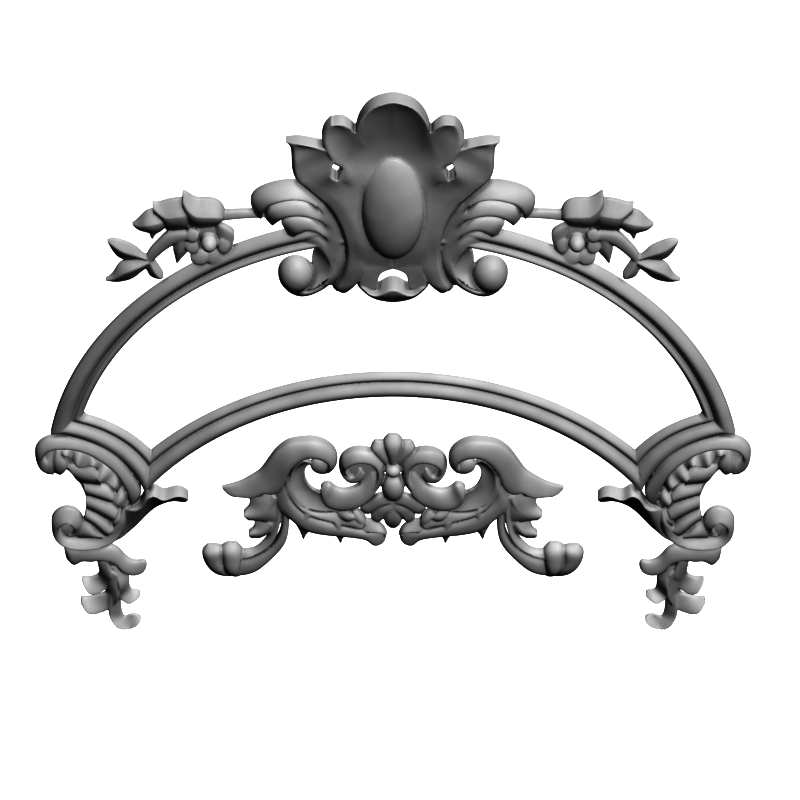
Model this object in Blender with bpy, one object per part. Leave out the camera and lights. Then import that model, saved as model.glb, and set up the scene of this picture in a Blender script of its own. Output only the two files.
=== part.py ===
"""Carved overdoor onlay: an arched crest with a cartouche, and a centre scroll ornament under it.

Both pieces are flat-backed carvings fixed on one panel. The back plane is y = 0, the front faces -Y
and +Z is up. The origin is on the back of the crest, on its middle line behind the cartouche.
Every carved member is a stroke: a strip between two edges, given by a few stations. A station is
(ax, ay, ah, bx, by, bh, swell): the two edge points on the drawing grid, their heights in front of
the back in millimetres, and how far the middle of the strip rises (or, if negative, sinks).
"""
import math

import bmesh
import bpy
import numpy as np
from mathutils import Matrix, Vector

MM = 0.001
UNIT = 1.4                 # mm, one square of the drawing grid
TILT = math.radians(43.0)  # the drawing looks down on the face by this angle
MIDDLE, LEVEL = 393.0, 210.0  # grid column of the middle line, grid row of the origin's level
STEP = 13.0                # mm between the cross-sections of a stroke
ACROSS = 4                 # facets across a stroke
BACK = 3.0                 # mm that a stroke is built deeper than the back, before the back is cut flat
THINNEST = 2.5             # mm, the least height of any carved edge
SPARE = 0.001              # m left behind the back plane while a piece is simplified
CLEANING_ROUNDS = 3
CREST_FACETS = 2820        # facets of half the crest before the back is cut flat
CENTRE_FACETS = 1200

RAIL_WIDTH = 38.0          # mm, the moulded rails
CORNER_WIDTH = 42.0
BEAD_SHARE = 0.42          # share of that width taken by the bead beside the opening
RAIL_GROOVE = 3.0
BEAD_CREST, ROLL_CREST = 13.0, 14.5
RAIL_EDGE = 7.0
UPPER_CENTRE, UPPER_RADIUS = -496.0, 447.0    # mm, opening side of the upper arch
LOWER_CENTRE, LOWER_RADIUS = -767.6, 459.0    # mm, opening side of the lower arch
CORNER_X, CORNER_Z, CORNER_RADIUS = -495.0, -570.0, 192.0

PAINT = (0.42, 0.42, 0.42, 1.0)

# The crest's cartouche
BODY = (
    (389, 103.2, 23, 394.5, 103, 23, 0), (381, 105.5, 24, 394.5, 108, 20, -1),
    (371, 110, 24, 394.5, 115, 16, -2), (363, 118, 24, 394.5, 124, 12, -3),
    (357, 130, 23, 394.5, 137, 7.5, -3), (352, 147, 17, 394.5, 152, 5, -2),
    (345, 160, 18, 394.5, 168, 5.5, 0), (341, 174, 22, 394.5, 186, 9, 0),
    (336, 188, 22, 394.5, 205, 12, -1), (342, 207, 22, 394.5, 222, 16, -1),
    (352, 226, 22, 394.5, 240, 21, -1), (357, 246, 23, 394.5, 254, 23, 0),
    (360, 262, 20, 394.5, 268.5, 20, 0))
INNER_LOBE = (
    (331, 126, 22, 333, 126, 22, 0), (326, 131, 22, 341, 125.5, 23, -2),
    (322.5, 139, 23, 350, 129.5, 22, -4), (322, 148, 25, 358, 137, 19, -4),
    (326.5, 158.5, 27, 364, 147, 12, -3), (333, 165.5, 27, 368, 158, 8, -2),
    (340, 168, 26, 368, 170, 8, -1), (343, 174, 25, 366, 182, 10, 0),
    (341, 180.5, 24, 362, 192, 12, 0))
OUTER_LOBE = (
    (285, 142.5, 14, 287, 142.5, 14, 0), (289, 147.5, 17, 298, 144.5, 20, -1),
    (291, 155, 19, 311, 147, 21, -3), (291.5, 165, 21, 324, 150.5, 22, -3),
    (292.5, 175.5, 21, 332, 157, 22, -3), (298, 186, 21, 332.5, 167, 25, -2),
    (309, 192, 21, 330.5, 177, 26, -1), (322, 199, 21, 338, 182, 22, 0),
    (336, 209, 21, 350, 190, 16, 0))
LEG = (
    (297, 186, 20, 306, 181, 21, 0), (308, 195, 20, 322, 187, 22, 0),
    (320, 205, 20, 335, 197, 22, 0), (330.5, 217, 20, 345, 208, 22, 0), (338, 231, 20, 354, 224, 23, 0),
    (342.5, 246, 20, 359, 240, 23, 0), (343, 260, 18, 362, 257, 21, 0), (340.5, 271.5, 15, 363, 270, 20, 2),
    (336, 282, 12, 360, 280.5, 17, 3), (332, 289, 8, 353, 288, 13, 4), (337, 293, 4, 347, 292.5, 6, 2))
FOOT_PANEL = (
    (358, 256, 22, 394.5, 264, 21, 0), (360, 263, 20, 394.5, 268.5, 20, 0),
    (364, 268, 20, 386, 271.5, 20, 0),
    (363, 275, 20, 380, 275.5, 20, 0), (360, 281, 19, 378, 282, 20, 0), (360, 289, 18, 376, 291, 19, 0))
LIP = (
    (357, 284.5, 12, 358, 286.5, 8, 0), (364, 290, 24, 364, 292.5, 9, 0),
    (371, 295.5, 29, 371, 297.5, 11, 1), (378, 296, 30, 379, 300.5, 13, 2),
    (384, 293.5, 31, 386, 301.8, 13, 3), (389, 291, 31, 390, 302.3, 13, 4),
    (397, 290.5, 31, 397, 302.5, 13, 4))

# The crest's two side scrolls
SCROLL_BASE = (
    (306, 188, 6, 303, 238, 5, 4), (322, 198, 6, 314, 246, 6, 7), (335, 212, 6, 322, 252, 7, 8),
    (344, 228, 6, 328, 259, 8, 8), (348, 245, 6, 331, 267, 9, 8), (347, 259, 6, 329, 276, 9, 7),
    (341, 271, 6, 323, 283, 9, 6), (331, 283, 5, 315, 288, 10, 5), (318, 291.5, 5, 306, 291, 11, 5),
    (303, 296, 5, 300, 289, 13, 5), (291, 293.5, 5, 297, 284, 18, 4), (283, 286, 5, 293, 277, 21, 3),
    (278.5, 274, 5, 290, 270, 22, 3))
BAND_1 = (
    (252, 208, 5, 261, 219.5, 7, 4), (250.5, 200, 5, 263, 214, 13, 9), (256, 191, 5, 269, 206, 17, 12),
    (268, 185, 5, 280, 201.5, 20, 13), (283, 181.5, 5, 293, 199.5, 20, 13),
    (297, 182, 7, 305, 201, 20, 11), (311, 188, 8, 316, 207, 19, 8),
    (324, 198, 8, 324, 216, 18, 6), (336, 211, 7, 329, 228, 17, 5), (345, 226, 7, 333, 243, 16, 4),
    (349.5, 243, 6, 335, 257, 15, 4), (349, 258, 5, 332, 269.5, 15, 4), (343, 272, 5, 329, 278, 15, 4),
    (334, 284, 4, 323.5, 285, 15, 3))
BAND_2 = (
    (263.5, 215.5, 5, 273, 226, 6, 4), (267, 208, 8, 279, 221, 12, 8), (279, 203, 11, 288, 217, 16, 9),
    (292, 200.5, 12, 299, 216, 17, 9), (306, 202, 13, 311, 218, 18, 8),
    (318, 208, 13, 321, 222.5, 17, 5), (329, 218, 13, 330, 230, 15, 2))
BAND_3 = (
    (281, 223, 6, 291, 237.5, 5, 4), (285, 219.5, 8, 297, 235, 10, 8), (296, 217, 11, 306, 231, 14, 8),
    (309, 218, 13, 315, 231.5, 15, 7), (320, 223.5, 13, 324, 237, 15, 5), (331, 233, 12, 332, 247, 14, 2))
BAND_4 = (
    (297, 238.5, 4, 300, 241.5, 4, 2), (303, 233.5, 6, 307, 244.5, 5, 5), (312, 232.5, 9, 317, 248.5, 6, 7),
    (323, 237, 11, 324, 255, 8, 7), (331, 247, 12, 329, 264, 9, 5), (334, 259, 12, 330, 273, 10, 4))
TROUGH = (
    (317, 249, 10, 313, 252, 4, 0), (325, 256, 12, 312, 259, 4, -2), (330, 266, 14, 312, 267, 4, -3),
    (329, 276, 16, 309, 275, 4, -4), (322, 284, 17, 303, 281, 4, -4), (312, 290, 17, 298, 286, 4, -3),
    (300, 293.5, 15, 294, 288, 4, -2))

# The flower sprays
SPRAY_STEM = (
    (214, 212, 5, 214, 222, 8, 3), (238, 210.5, 5, 238, 219, 8, 3), (262, 210.5, 5, 264, 217.5, 8, 3))
ROSE_1 = (
    (182.5, 191.5, 5, 182, 211, 8, 6), (187, 193.5, 5, 188, 223, 6, 13), (196, 198.5, 5, 197, 227.5, 5, 17),
    (206, 199, 5, 207, 227, 5, 18), (216, 200.5, 5, 214, 226, 5, 17), (223, 206.5, 5, 220, 222.5, 5, 12),
    (225.5, 213, 4, 224, 218.5, 4, 4))
ROSE_2 = (
    (152, 203, 5, 154, 214, 7, 4), (158, 203.5, 5, 163, 222, 6, 10), (165, 201.5, 5, 170, 230, 5, 14),
    (174, 199.5, 5, 178, 230, 5, 15), (183, 199.5, 5, 186, 229, 5, 13), (190, 202, 5, 190, 226, 6, 8))
ROSE_3 = (
    (132, 224, 4, 132.5, 225.5, 4, 0), (137.5, 220, 4, 138, 230, 4, 6), (144, 213.5, 4, 146, 232.5, 4, 12),
    (150, 210, 4, 155, 234, 4, 14), (158, 210.5, 4, 163, 230, 4, 12), (166, 213, 4, 167, 226, 5, 8))
SEPAL_1 = ((149, 230, 6, 159, 231, 6, 3), (150, 236, 4, 155, 236, 4, 2), (151.5, 239.5, 3, 153, 239.5, 3, 0))
SEPAL_2 = ((164, 220, 8, 171, 221, 8, 3), (165, 227, 6, 171, 227, 6, 3), (167, 232, 4, 169, 232, 4, 1))
SEPAL_3 = ((185, 214, 10, 194, 218, 10, 3), (183, 222, 9, 192, 224, 9, 4), (186, 229, 6, 190.5, 229, 6, 3),
           (188, 232.5, 3, 189, 232.5, 3, 0))
STALK = (
    (196, 231, 5, 194, 241, 5, 6), (180, 229.5, 5, 181, 241.5, 5, 6), (169, 231.5, 5, 173, 245, 5, 6),
    (159, 240, 5, 164, 251, 5, 5), (151, 248, 4, 157, 257, 4, 5), (146, 256, 4, 152, 262, 4, 4))
STALK_LEAF = (
    (175, 241, 8, 189, 240, 8, 3), (173, 249, 6, 189, 250, 6, 5), (174.5, 256, 4, 183, 257, 4, 4),
    (176, 263, 3, 177.5, 264, 3, 0))
LEAF_1 = (
    (107, 240.5, 4, 108, 243.5, 4, 1), (116, 239.5, 4, 113, 252, 4, 7), (126, 242.5, 4, 121, 259, 4, 9),
    (136, 247.5, 4, 132, 260, 4, 8), (143.5, 254, 4, 141, 259.5, 4, 6), (150, 257, 4, 147, 262, 4, 4))
LEAF_2 = (
    (105, 279.5, 4, 106, 281, 4, 1), (112, 274.5, 4, 114, 282.3, 4, 5), (118, 265.5, 4, 124, 281.5, 4, 9),
    (125, 260.5, 4, 133, 278.5, 4, 11), (135, 259, 4, 141, 272.5, 4, 10), (148, 257, 4, 149, 267, 4, 6))
LEAF_3 = (
    (153, 257.5, 4, 145, 264, 4, 4), (158, 265, 4, 147.5, 272.5, 4, 7), (162, 271, 4, 152, 277.5, 4, 7),
    (163.5, 276, 4, 158, 279.2, 4, 4), (162.8, 278.5, 3, 161.5, 279.5, 3, 0))
FLOWER_LEAF = (
    (214, 222, 5, 222, 224.5, 6, 2), (216, 232, 5, 233, 232, 8, 4), (216, 244, 5, 234, 241, 8, 4),
    (214, 256, 5, 229, 253, 7, 4), (212, 264, 4, 222, 263.5, 5, 2))

# The shell-shaped corner scrolls
SHELL_BAND = (
    (54, 475, 4, 52, 467, 7, 3), (44, 472.5, 4, 48.5, 462.5, 8, 5), (37.5, 465, 4, 44, 459, 9, 6),
    (35, 455, 4, 43.5, 456.5, 10, 7), (37, 445.5, 5, 47, 452.5, 11, 7), (45, 439, 6, 54, 450, 12, 7),
    (58, 436.5, 8, 64, 449.5, 13, 7), (75, 437, 9, 77, 451, 14, 7), (92, 441, 10, 91, 456, 15, 7),
    (108, 448.5, 11, 104, 464, 16, 7), (121, 459, 11, 115, 473, 16, 7), (131, 471.5, 10, 122, 483, 15, 7),
    (139.5, 484, 9, 127, 493, 13, 6), (141, 494, 8, 129, 500, 10, 5), (136.5, 503, 5, 131, 505, 6, 2))
CURL = (
    (43, 451, 4, 56, 447, 4, 1), (41, 459, 4, 54, 455, 5, 3), (41, 467, 5, 54, 463, 8, 4),
    (47, 474, 5, 56, 472, 6, 3))
KNOB = (
    (56, 449, 6, 61, 449, 6, 1), (53, 457, 6, 64, 456, 6, 7), (52, 465, 5, 67.5, 463, 5, 9),
    (55, 472, 4, 66, 469.5, 4, 6), (60, 475, 4, 62, 474, 4, 1))
FLUTES = (
    ((66, 465, 4, 78, 481, 8, 3), (82, 465, 5, 88, 482.5, 11, 4), (93, 465, 6, 97, 483.5, 13, 4),
     (99, 469, 6, 101, 484, 13, 3)),
    ((83, 482, 4, 86, 494.5, 8, 4), (95, 482.5, 5, 95, 496, 12, 5), (106, 484, 6, 104, 499, 14, 5),
     (115, 491, 6, 112, 501, 14, 3)),
    ((85.5, 495, 4, 86, 507.5, 8, 4), (97, 495.5, 5, 96, 511.5, 12, 5), (108, 499, 6, 104, 516, 14, 5),
     (119, 508, 6, 112, 520, 14, 3)),
    ((86, 508, 4, 84, 518.5, 8, 4), (97, 511.5, 5, 93, 523.5, 12, 5), (107, 517, 6, 101, 531.5, 14, 5),
     (115, 525, 6, 105, 534, 14, 3)),
    ((83, 519, 4, 77, 538, 8, 4), (91, 522, 5, 87, 538, 10, 4), (100, 530, 6, 96, 537.5, 10, 3),
     (106, 534, 7, 103, 538, 10, 1)))
SHELL_FLOOR = (
    (60, 450, 4, 66, 469, 4, 0), (80, 452, 4, 77, 480, 4, 0), (102, 462, 4, 84, 492, 4, 0),
    (120, 478, 4, 87, 504, 4, 0), (130, 497, 4, 85, 515, 4, 0), (128, 515, 4, 83, 523, 4, 0),
    (120, 530, 4, 81, 533, 4, 0), (110, 537, 4, 80, 539, 4, 0))
RUFFLES = (
    ((59, 450, 6, 60, 455, 8, 0), (66, 449, 8, 65, 457, 15, 2), (72, 449, 6, 70, 459, 11, 0),
     (76, 449, 6, 73, 461, 9, 0)),
    ((73, 450, 6, 72, 460, 9, 1), (80, 450, 8, 76, 467, 19, 3), (88, 452, 7, 84, 468, 14, 1),
     (95, 456, 8, 92, 467, 19, 2), (101, 461, 7, 97, 470, 12, 1), (106, 466, 6, 99, 474, 9, 0)),
    ((103, 463, 6, 96, 473, 10, 1), (109, 468, 8, 98, 482, 19, 3), (115, 473, 7, 106, 484, 14, 1),
     (119, 477, 8, 112, 488, 18, 2), (123, 483, 6, 117, 493, 9, 0)),
    ((120, 487, 6, 113, 497, 9, 1), (125, 491, 8, 115, 504, 17, 3), (129, 497, 7, 121, 508, 13, 1),
     (131, 503, 6, 126, 508, 9, 0)),
    ((123, 507, 6, 114, 513, 9, 1), (125, 515, 8, 113, 522, 15, 3), (122, 523, 6, 114, 528, 9, 0)))
LOWER_BAND = (
    (130, 501, 8, 125, 501, 8, 1), (128, 510, 8, 122, 510, 10, 2), (126, 522, 6, 120, 521, 13, 5),
    (121, 534, 9, 111, 528, 10, 5), (110, 545, 14, 101, 536, 8, 3), (94, 550, 16, 90, 538.5, 7, 2),
    (76, 550.5, 16, 76, 538.5, 7, 2), (62, 546.5, 13, 66, 538, 8, 4), (54, 537.5, 9, 61, 534, 10, 5),
    (51.5, 526, 7, 59, 529, 13, 5), (53, 516, 6, 62, 526, 16, 4), (61, 509.5, 7, 66, 524.5, 18, 2),
    (71, 508.5, 7, 71, 526, 18, 2), (79, 512.5, 6, 73, 528.5, 15, 4), (83.5, 520, 5, 74, 530, 12, 5),
    (82, 529, 6, 72, 532, 8, 4), (76, 536, 8, 69, 533, 6, 2), (69, 537.5, 8, 66.5, 531, 5, 1))
VOLUTE_FLOOR = ((55, 519, 5, 80, 519, 5, 0), (54, 528, 6, 82, 528, 6, 2), (60, 537, 5, 78, 538, 5, 0))
SIDE_LEAF = (
    (188, 499.5, 19, 188.5, 500.5, 17, 0), (184.5, 497.8, 22, 185, 502.6, 14, 0),
    (179, 496.8, 24, 179, 502, 11, 0), (171, 498.8, 26, 170, 502, 8, 0), (163, 500.8, 27, 162, 504.5, 6, 0),
    (157, 497.8, 28, 156, 507.5, 6, 0), (152, 497, 28, 149, 513, 6, 0), (146, 500.5, 28, 142, 520, 6, 0),
    (141, 508, 26, 135, 527, 6, 0), (134, 511, 22, 128, 533, 6, 0), (126, 508, 12, 120, 539, 6, 0))

# The pendants below the corners
PLATE = (
    (64, 547, 6, 66, 558, 4, 3), (66, 545, 8, 73, 565, 4, 7), (74, 542, 8, 81, 562, 5, 8),
    (86, 541, 9, 90, 562, 6, 8), (98, 541, 9, 98, 561, 7, 8), (110, 543, 7, 108, 562, 7, 8),
    (118, 549, 6, 115, 565, 6, 8), (125, 556, 5, 121, 571, 5, 8), (132, 560.5, 5, 128, 575, 5, 7),
    (139, 561.5, 5, 137, 575.5, 5, 5), (144.5, 561, 5, 143.5, 572.5, 5, 3), (147, 565, 4, 146.5, 567.5, 4, 0))
PENDANT_LOBES = (
    ((97, 561, 8, 108, 561, 14, 3), (98.5, 568, 4, 111, 570, 15, 3), (99, 574, 3.5, 112, 580, 14, 2),
     (95, 577, 3.5, 106, 589, 11, 1), (90.5, 577, 4, 95, 594.5, 12, 0), (86, 576.5, 8, 87, 591.5, 15, 1),
     (82.5, 576.5, 11, 82, 581, 14, 0)),
    ((107, 566, 9, 117, 576, 14, 3), (107, 584, 4, 119, 588, 14, 4), (106, 592, 3.5, 118, 600, 13, 3),
     (102, 596, 3.5, 109, 609, 11, 1), (94, 597, 4, 96, 614, 12, 0), (86.5, 596.5, 8, 86.5, 611.5, 15, 1),
     (81.5, 596, 11, 80.7, 602, 14, 0)),
    ((117, 565, 7, 110, 565, 10, 3), (128, 573.5, 5, 117, 578, 13, 4), (129.5, 584, 4, 118.5, 592, 12, 3),
     (132, 589.5, 4, 121.5, 600.5, 11, 1), (135, 590.5, 5, 128, 604.5, 13, 0), (139, 590, 8, 136, 600, 12, 1),
     (140.5, 592.5, 9, 140.5, 595, 11, 0)),
    ((121.5, 588, 8, 112, 588, 9, 3), (121, 600, 5, 109, 601, 9, 3), (121.5, 609, 4, 108.5, 612, 9, 3),
     (123.5, 614.5, 4, 111.5, 622, 11, 1), (126.5, 616, 4, 118, 630, 13, 0), (131, 614.5, 6, 127, 631, 12, 1),
     (136.5, 614, 8, 135, 627.5, 12, 1), (141, 617.5, 9, 140.7, 622, 11, 0)))
PENDANT_FLOOR = (
    (98, 556, 6, 126, 566, 6, 0), (102, 568, 6, 126, 574, 6, 0), (105, 580, 6, 125, 582, 6, 0),
    (107, 590, 6, 122, 592, 6, 0), (110, 600, 5, 121, 601, 5, 0))

# The centre ornament
BIG_SCROLL = (
    (222, 487, 4, 222.5, 489.5, 4, 0), (230, 485, 4, 230, 496, 7, 3), (241, 481.5, 4, 241, 498, 10, 4),
    (252, 476, 5, 253, 498.5, 12, 5), (261, 470, 6, 264, 494, 13, 6), (267, 463, 8, 271, 495, 12, 7),
    (273.5, 455, 10, 281, 490, 12, 8), (280.5, 448.5, 11, 287, 477, 13, 9), (290, 443.5, 12, 295, 466, 14, 9),
    (301, 441.5, 12, 304, 460, 14, 9), (314, 441, 12, 314, 458.5, 14, 10), (325, 444, 11, 322, 460.5, 13, 10),
    (333.5, 449.5, 9, 327, 463.5, 12, 10), (337.5, 457.5, 6, 328, 467, 11, 10), (335, 466.5, 5, 326, 469, 9, 8),
    (329, 472.5, 4, 324, 470, 7, 5))
CRESCENT = (
    (303, 461, 12, 311, 463, 6, 0), (294, 469, 12, 306, 468.5, 6, -3), (290, 480, 12, 305, 477, 6, -4),
    (292, 492, 12, 308, 484.5, 6, -4), (299, 503, 12, 314, 490, 6, -4), (310, 510, 11, 322, 494, 7, -3),
    (324, 512, 10, 328, 498, 7, -1), (338, 512, 8, 334, 505, 7, 0))
RIM = (
    (292, 472, 6, 284, 479, 6, 2), (291, 483, 9, 285, 489, 8, 4), (295, 496, 9, 291, 500, 8, 4),
    (303, 506, 9, 300, 509.5, 8, 5), (315, 511.5, 8, 313, 517, 8, 5), (330, 512, 6, 330, 522, 8, 5),
    (344, 511.5, 5, 345, 526, 8, 5), (351, 510.5, 5, 354, 527.5, 8, 6), (358.5, 512.5, 5, 360, 529.5, 8, 6),
    (364.5, 516, 4, 363.5, 527, 8, 4), (366, 519, 4, 365.5, 523, 5, 1))
SWEEP = (
    (278, 486, 7, 275, 497, 5, 2), (286, 485, 9, 278, 508, 5, 6), (289, 495, 9, 285, 515.5, 4, 8),
    (297, 506, 9, 294, 522.5, 4, 9), (309, 514, 9, 303, 529.5, 4, 9), (322, 519.5, 9, 316, 533.5, 4, 9),
    (336, 524, 9, 330, 535.5, 4, 8), (350, 527.5, 9, 346, 537, 4, 7), (362, 530, 9, 359, 538.5, 4, 7),
    (371, 532, 8, 368, 541.5, 4, 6), (379, 531, 6, 374.5, 546, 4, 5), (385, 530.5, 5, 382, 544, 4, 3),
    (387, 534, 4, 385.5, 540, 4, 0))
SWEEP_TIP = (
    (362, 520.5, 4, 361, 531, 9, 1), (370, 519.5, 4, 371, 533, 11, 2), (378, 522, 4, 378, 533, 12, 2),
    (384, 527, 4, 383, 534, 11, 2), (387.5, 534, 4, 385, 537, 8, 1))
THORNS = (
    ((296, 521, 7, 311, 527, 7, 3), (301, 532, 6, 307, 532.5, 6, 2), (302.5, 538.5, 4, 304, 538.5, 4, 0)),
    ((330, 530, 7, 346, 531, 7, 3), (337, 538, 6, 343, 537, 6, 2), (340, 543, 4, 341, 543, 4, 0)))
TAIL_INNER = (
    (275, 494, 6, 280, 497, 8, 2), (274.5, 508, 6, 281, 511, 8, 3), (273, 521, 5, 280, 524, 8, 4),
    (269, 533, 4, 276, 537, 9, 5), (262, 542.5, 4, 269, 547, 9, 5), (253, 548.5, 4, 258, 554, 9, 5),
    (243, 549.5, 4, 245, 559, 9, 5), (235, 551, 4, 235, 560, 6, 3))
TAIL_OUTER = (
    (277, 496, 7, 284, 504, 5, 4), (281, 508, 7, 288.5, 515, 5, 5), (282, 521, 7, 289, 527, 4, 6),
    (279, 534, 7, 286, 541, 4, 7), (271.5, 545, 7, 278, 552.5, 4, 7), (260, 553, 7, 266, 564, 4, 8),
    (248, 558, 7, 252, 573, 4, 8), (235, 559.5, 7, 235, 576, 4, 6))
TAIL_BULBS = (
    ((228, 542.5, 4, 236, 542.5, 4, 1), (222, 546, 4, 241, 547, 4, 11), (220.5, 555, 4, 242.5, 556, 5, 15),
     (222, 564, 4, 241, 565, 6, 15), (228, 572, 4, 240, 573, 5, 9), (235, 576, 4, 240, 576, 4, 1)),
    ((208, 544.5, 4, 216, 544.5, 4, 1), (203.5, 549, 4, 222, 547, 5, 10), (202.5, 556, 4, 223, 556, 6, 12),
     (207, 565, 4, 226, 566, 6, 11), (216, 572.5, 4, 230, 573.5, 5, 6), (225, 576, 4, 234, 576, 4, 1)))
TAIL_LEAVES = (
    ((249, 492, 5, 283, 493, 5, 2), (249.5, 500, 5, 279, 499, 7, 4), (249, 507, 6, 278, 508, 8, 5),
     (245, 512.5, 9, 277, 515, 9, 4), (243.5, 516.5, 12, 276, 519, 9, 2), (249, 520.5, 9, 274, 522, 8, 1)),
    ((254, 516, 3.5, 279, 513, 4, 0), (254.5, 524, 5, 277, 521, 7, 4), (253, 530, 8, 274, 529, 8, 4),
     (248.5, 535, 11, 268, 534.5, 9, 2), (251, 538.5, 8, 260, 538.5, 7, 0)))
INNER_SCROLL = (
    (373, 495, 7, 371, 490, 11, 4), (380, 486, 6, 376, 482, 12, 5), (384.5, 473, 5, 377, 473, 12, 7),
    (384, 462, 7, 374, 467.5, 13, 7), (378, 455.5, 9, 369, 464.5, 14, 7), (368, 451.5, 11, 362, 463.5, 15, 7),
    (357, 450.5, 11, 355, 464.5, 15, 7), (348.5, 452.5, 10, 349, 467.5, 13, 7),
    (342, 456.5, 8, 346, 470.5, 11, 7),
    (339, 463, 5, 347, 473, 9, 7), (340, 472, 6, 349, 475, 8, 5), (345, 480, 8, 352, 476, 7, 4),
    (352, 483.5, 4, 355, 475, 8, 4), (359, 482, 4, 357, 472, 8, 4), (365, 475, 4, 360, 469, 8, 2))
EYE_FLOOR = (
    (346, 464, 5, 347, 482, 5, 0), (356, 462, 5, 357, 483, 5, 0), (366, 461, 6, 366, 482, 6, 0),
    (378, 470, 7, 377, 484, 7, 0))
TRAY = (
    (320.5, 489, 9, 323, 484.5, 8, 2), (321.5, 498, 11, 329, 484, 12, 3), (326, 506, 11, 335, 486, 7, 1),
    (335, 510, 13, 344, 489, 8, 1), (348, 510.5, 14, 354, 487, 8, 1), (360, 507, 13, 361, 483, 6, 1),
    (370, 500, 12, 367, 476, 5, 0), (377, 490, 11, 372, 471, 6, -1), (379, 480, 10, 375, 470, 6, -1))
FAN_MIDDLE = (
    (389, 434.5, 4, 397, 434.5, 4, 1), (384, 439.5, 4, 402, 439.5, 4, 11), (384, 446, 5, 402, 446, 5, 13),
    (387, 455, 6, 399, 455, 6, 11), (390, 466, 7, 396, 466, 7, 6))
FAN_SIDE = (
    (375, 440.5, 4, 382, 440.5, 4, 2), (371, 447, 4, 384.5, 444, 5, 8), (374, 453, 5, 387, 450, 6, 9),
    (380, 460, 6, 390, 457, 7, 7), (386, 467, 7, 392, 464, 8, 3))
TONGUE_MIDDLE = (
    (390, 498, 7, 396, 498, 7, 2), (386, 508, 6, 400, 508, 6, 4), (384, 517, 5, 402, 517, 5, 6),
    (386.5, 525, 4, 399.5, 525, 4, 3), (391, 528.5, 4, 395, 528.5, 4, 0))
TONGUES = (
    ((391, 502, 8, 392.5, 510, 8, 2), (381, 504.5, 7, 388, 513, 7, 4), (372, 511, 5, 383, 519, 5, 4),
     (371, 517, 4, 380, 521.5, 4, 3), (373, 521, 4, 377, 522.5, 4, 0)),
    ((389, 494, 8, 391, 504, 8, 2), (377, 496, 7, 383, 506, 7, 4), (366, 502, 5, 374.5, 511, 5, 4),
     (360, 507, 4, 370, 513.5, 4, 3), (363, 513.3, 4, 368, 514.5, 4, 0)))


def face_point(column, row, height):
    """Place, in millimetres on the face plane, of a grid point that lies at a height above the back."""
    x = (column - MIDDLE) * UNIT
    z = ((LEVEL - row) * UNIT + height * math.sin(TILT)) / math.cos(TILT)
    return x, z


def natural_spline(values, knots, at):
    """Natural cubic through rows of values, read at the given places."""
    count = len(knots)
    gaps = np.diff(knots)
    system = np.eye(count)
    right = np.zeros_like(values)
    for i in range(1, count - 1):
        system[i, i - 1] = gaps[i - 1]
        system[i, i] = 2 * (gaps[i - 1] + gaps[i])
        system[i, i + 1] = gaps[i]
        right[i] = 6 * ((values[i + 1] - values[i]) / gaps[i] - (values[i] - values[i - 1]) / gaps[i - 1])
    bend = np.linalg.solve(system, right)
    i = np.clip(np.searchsorted(knots, at, side="right") - 1, 0, count - 2)
    width = gaps[i][:, None]
    before = (at - knots[i])[:, None]
    after = width - before
    curve = (bend[i] * after ** 3 + bend[i + 1] * before ** 3) / (6 * width)
    return (curve + (values[i] / width - bend[i] * width / 6) * after
            + (values[i + 1] / width - bend[i + 1] * width / 6) * before)


def cross_sections(stations, step):
    """Stations in millimetres, spaced evenly along the stroke."""
    values = np.array([
        (*face_point(ax, ay, ah), ah, *face_point(bx, by, bh), bh, swell)
        for ax, ay, ah, bx, by, bh, swell in stations], dtype=float)
    run_a = np.linalg.norm(np.diff(values[:, 0:2], axis=0), axis=1)
    run_b = np.linalg.norm(np.diff(values[:, 3:5], axis=0), axis=1)
    knots = np.concatenate([[0.0], np.cumsum((run_a + run_b) / 2)])
    count = max(4, round(knots[-1] / step)) + 1
    sections = natural_spline(values, knots, np.linspace(0.0, knots[-1], count))
    sections[:, 2] = np.maximum(sections[:, 2], THINNEST)
    sections[:, 5] = np.maximum(sections[:, 5], THINNEST)
    return sections


def roll(s):
    """A round member, steep at both edges."""
    return max(0.0, 1 - abs(2 * s - 1) ** 2.4) ** (1 / 1.8)


def dish(s):
    """A shallow arc."""
    return 1 - (2 * s - 1) ** 2


def ridge(s):
    """Two slopes meeting on a ridge nearer the first edge."""
    return s / 0.4 if s < 0.4 else (1 - s) / 0.6


def fold(s):
    """A petal rising to its turned rim, then running down under it."""
    return s / 0.36 if s < 0.36 else 1 - ((s - 0.36) / 0.64) ** 2.2


def rise(section, s):
    """Height across a stroke that climbs quickly from its first edge and then runs level."""
    climb = 1 - (1 - s) ** 2.4
    return section[2] + (section[5] - section[2]) * climb + section[6] * 4 * s * (1 - s)


def bowl(section, s):
    """Height across half of a bowl, from its rim to its level middle."""
    fall = 1 - (1 - s) ** 2.0
    return section[2] + (section[5] - section[2]) * fall


def swelling(profile):
    """Height across a stroke: level between its edges, raised by the swell times the profile."""
    def height(section, s):
        return section[2] * (1 - s) + section[5] * s + section[6] * profile(s)
    return height


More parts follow.
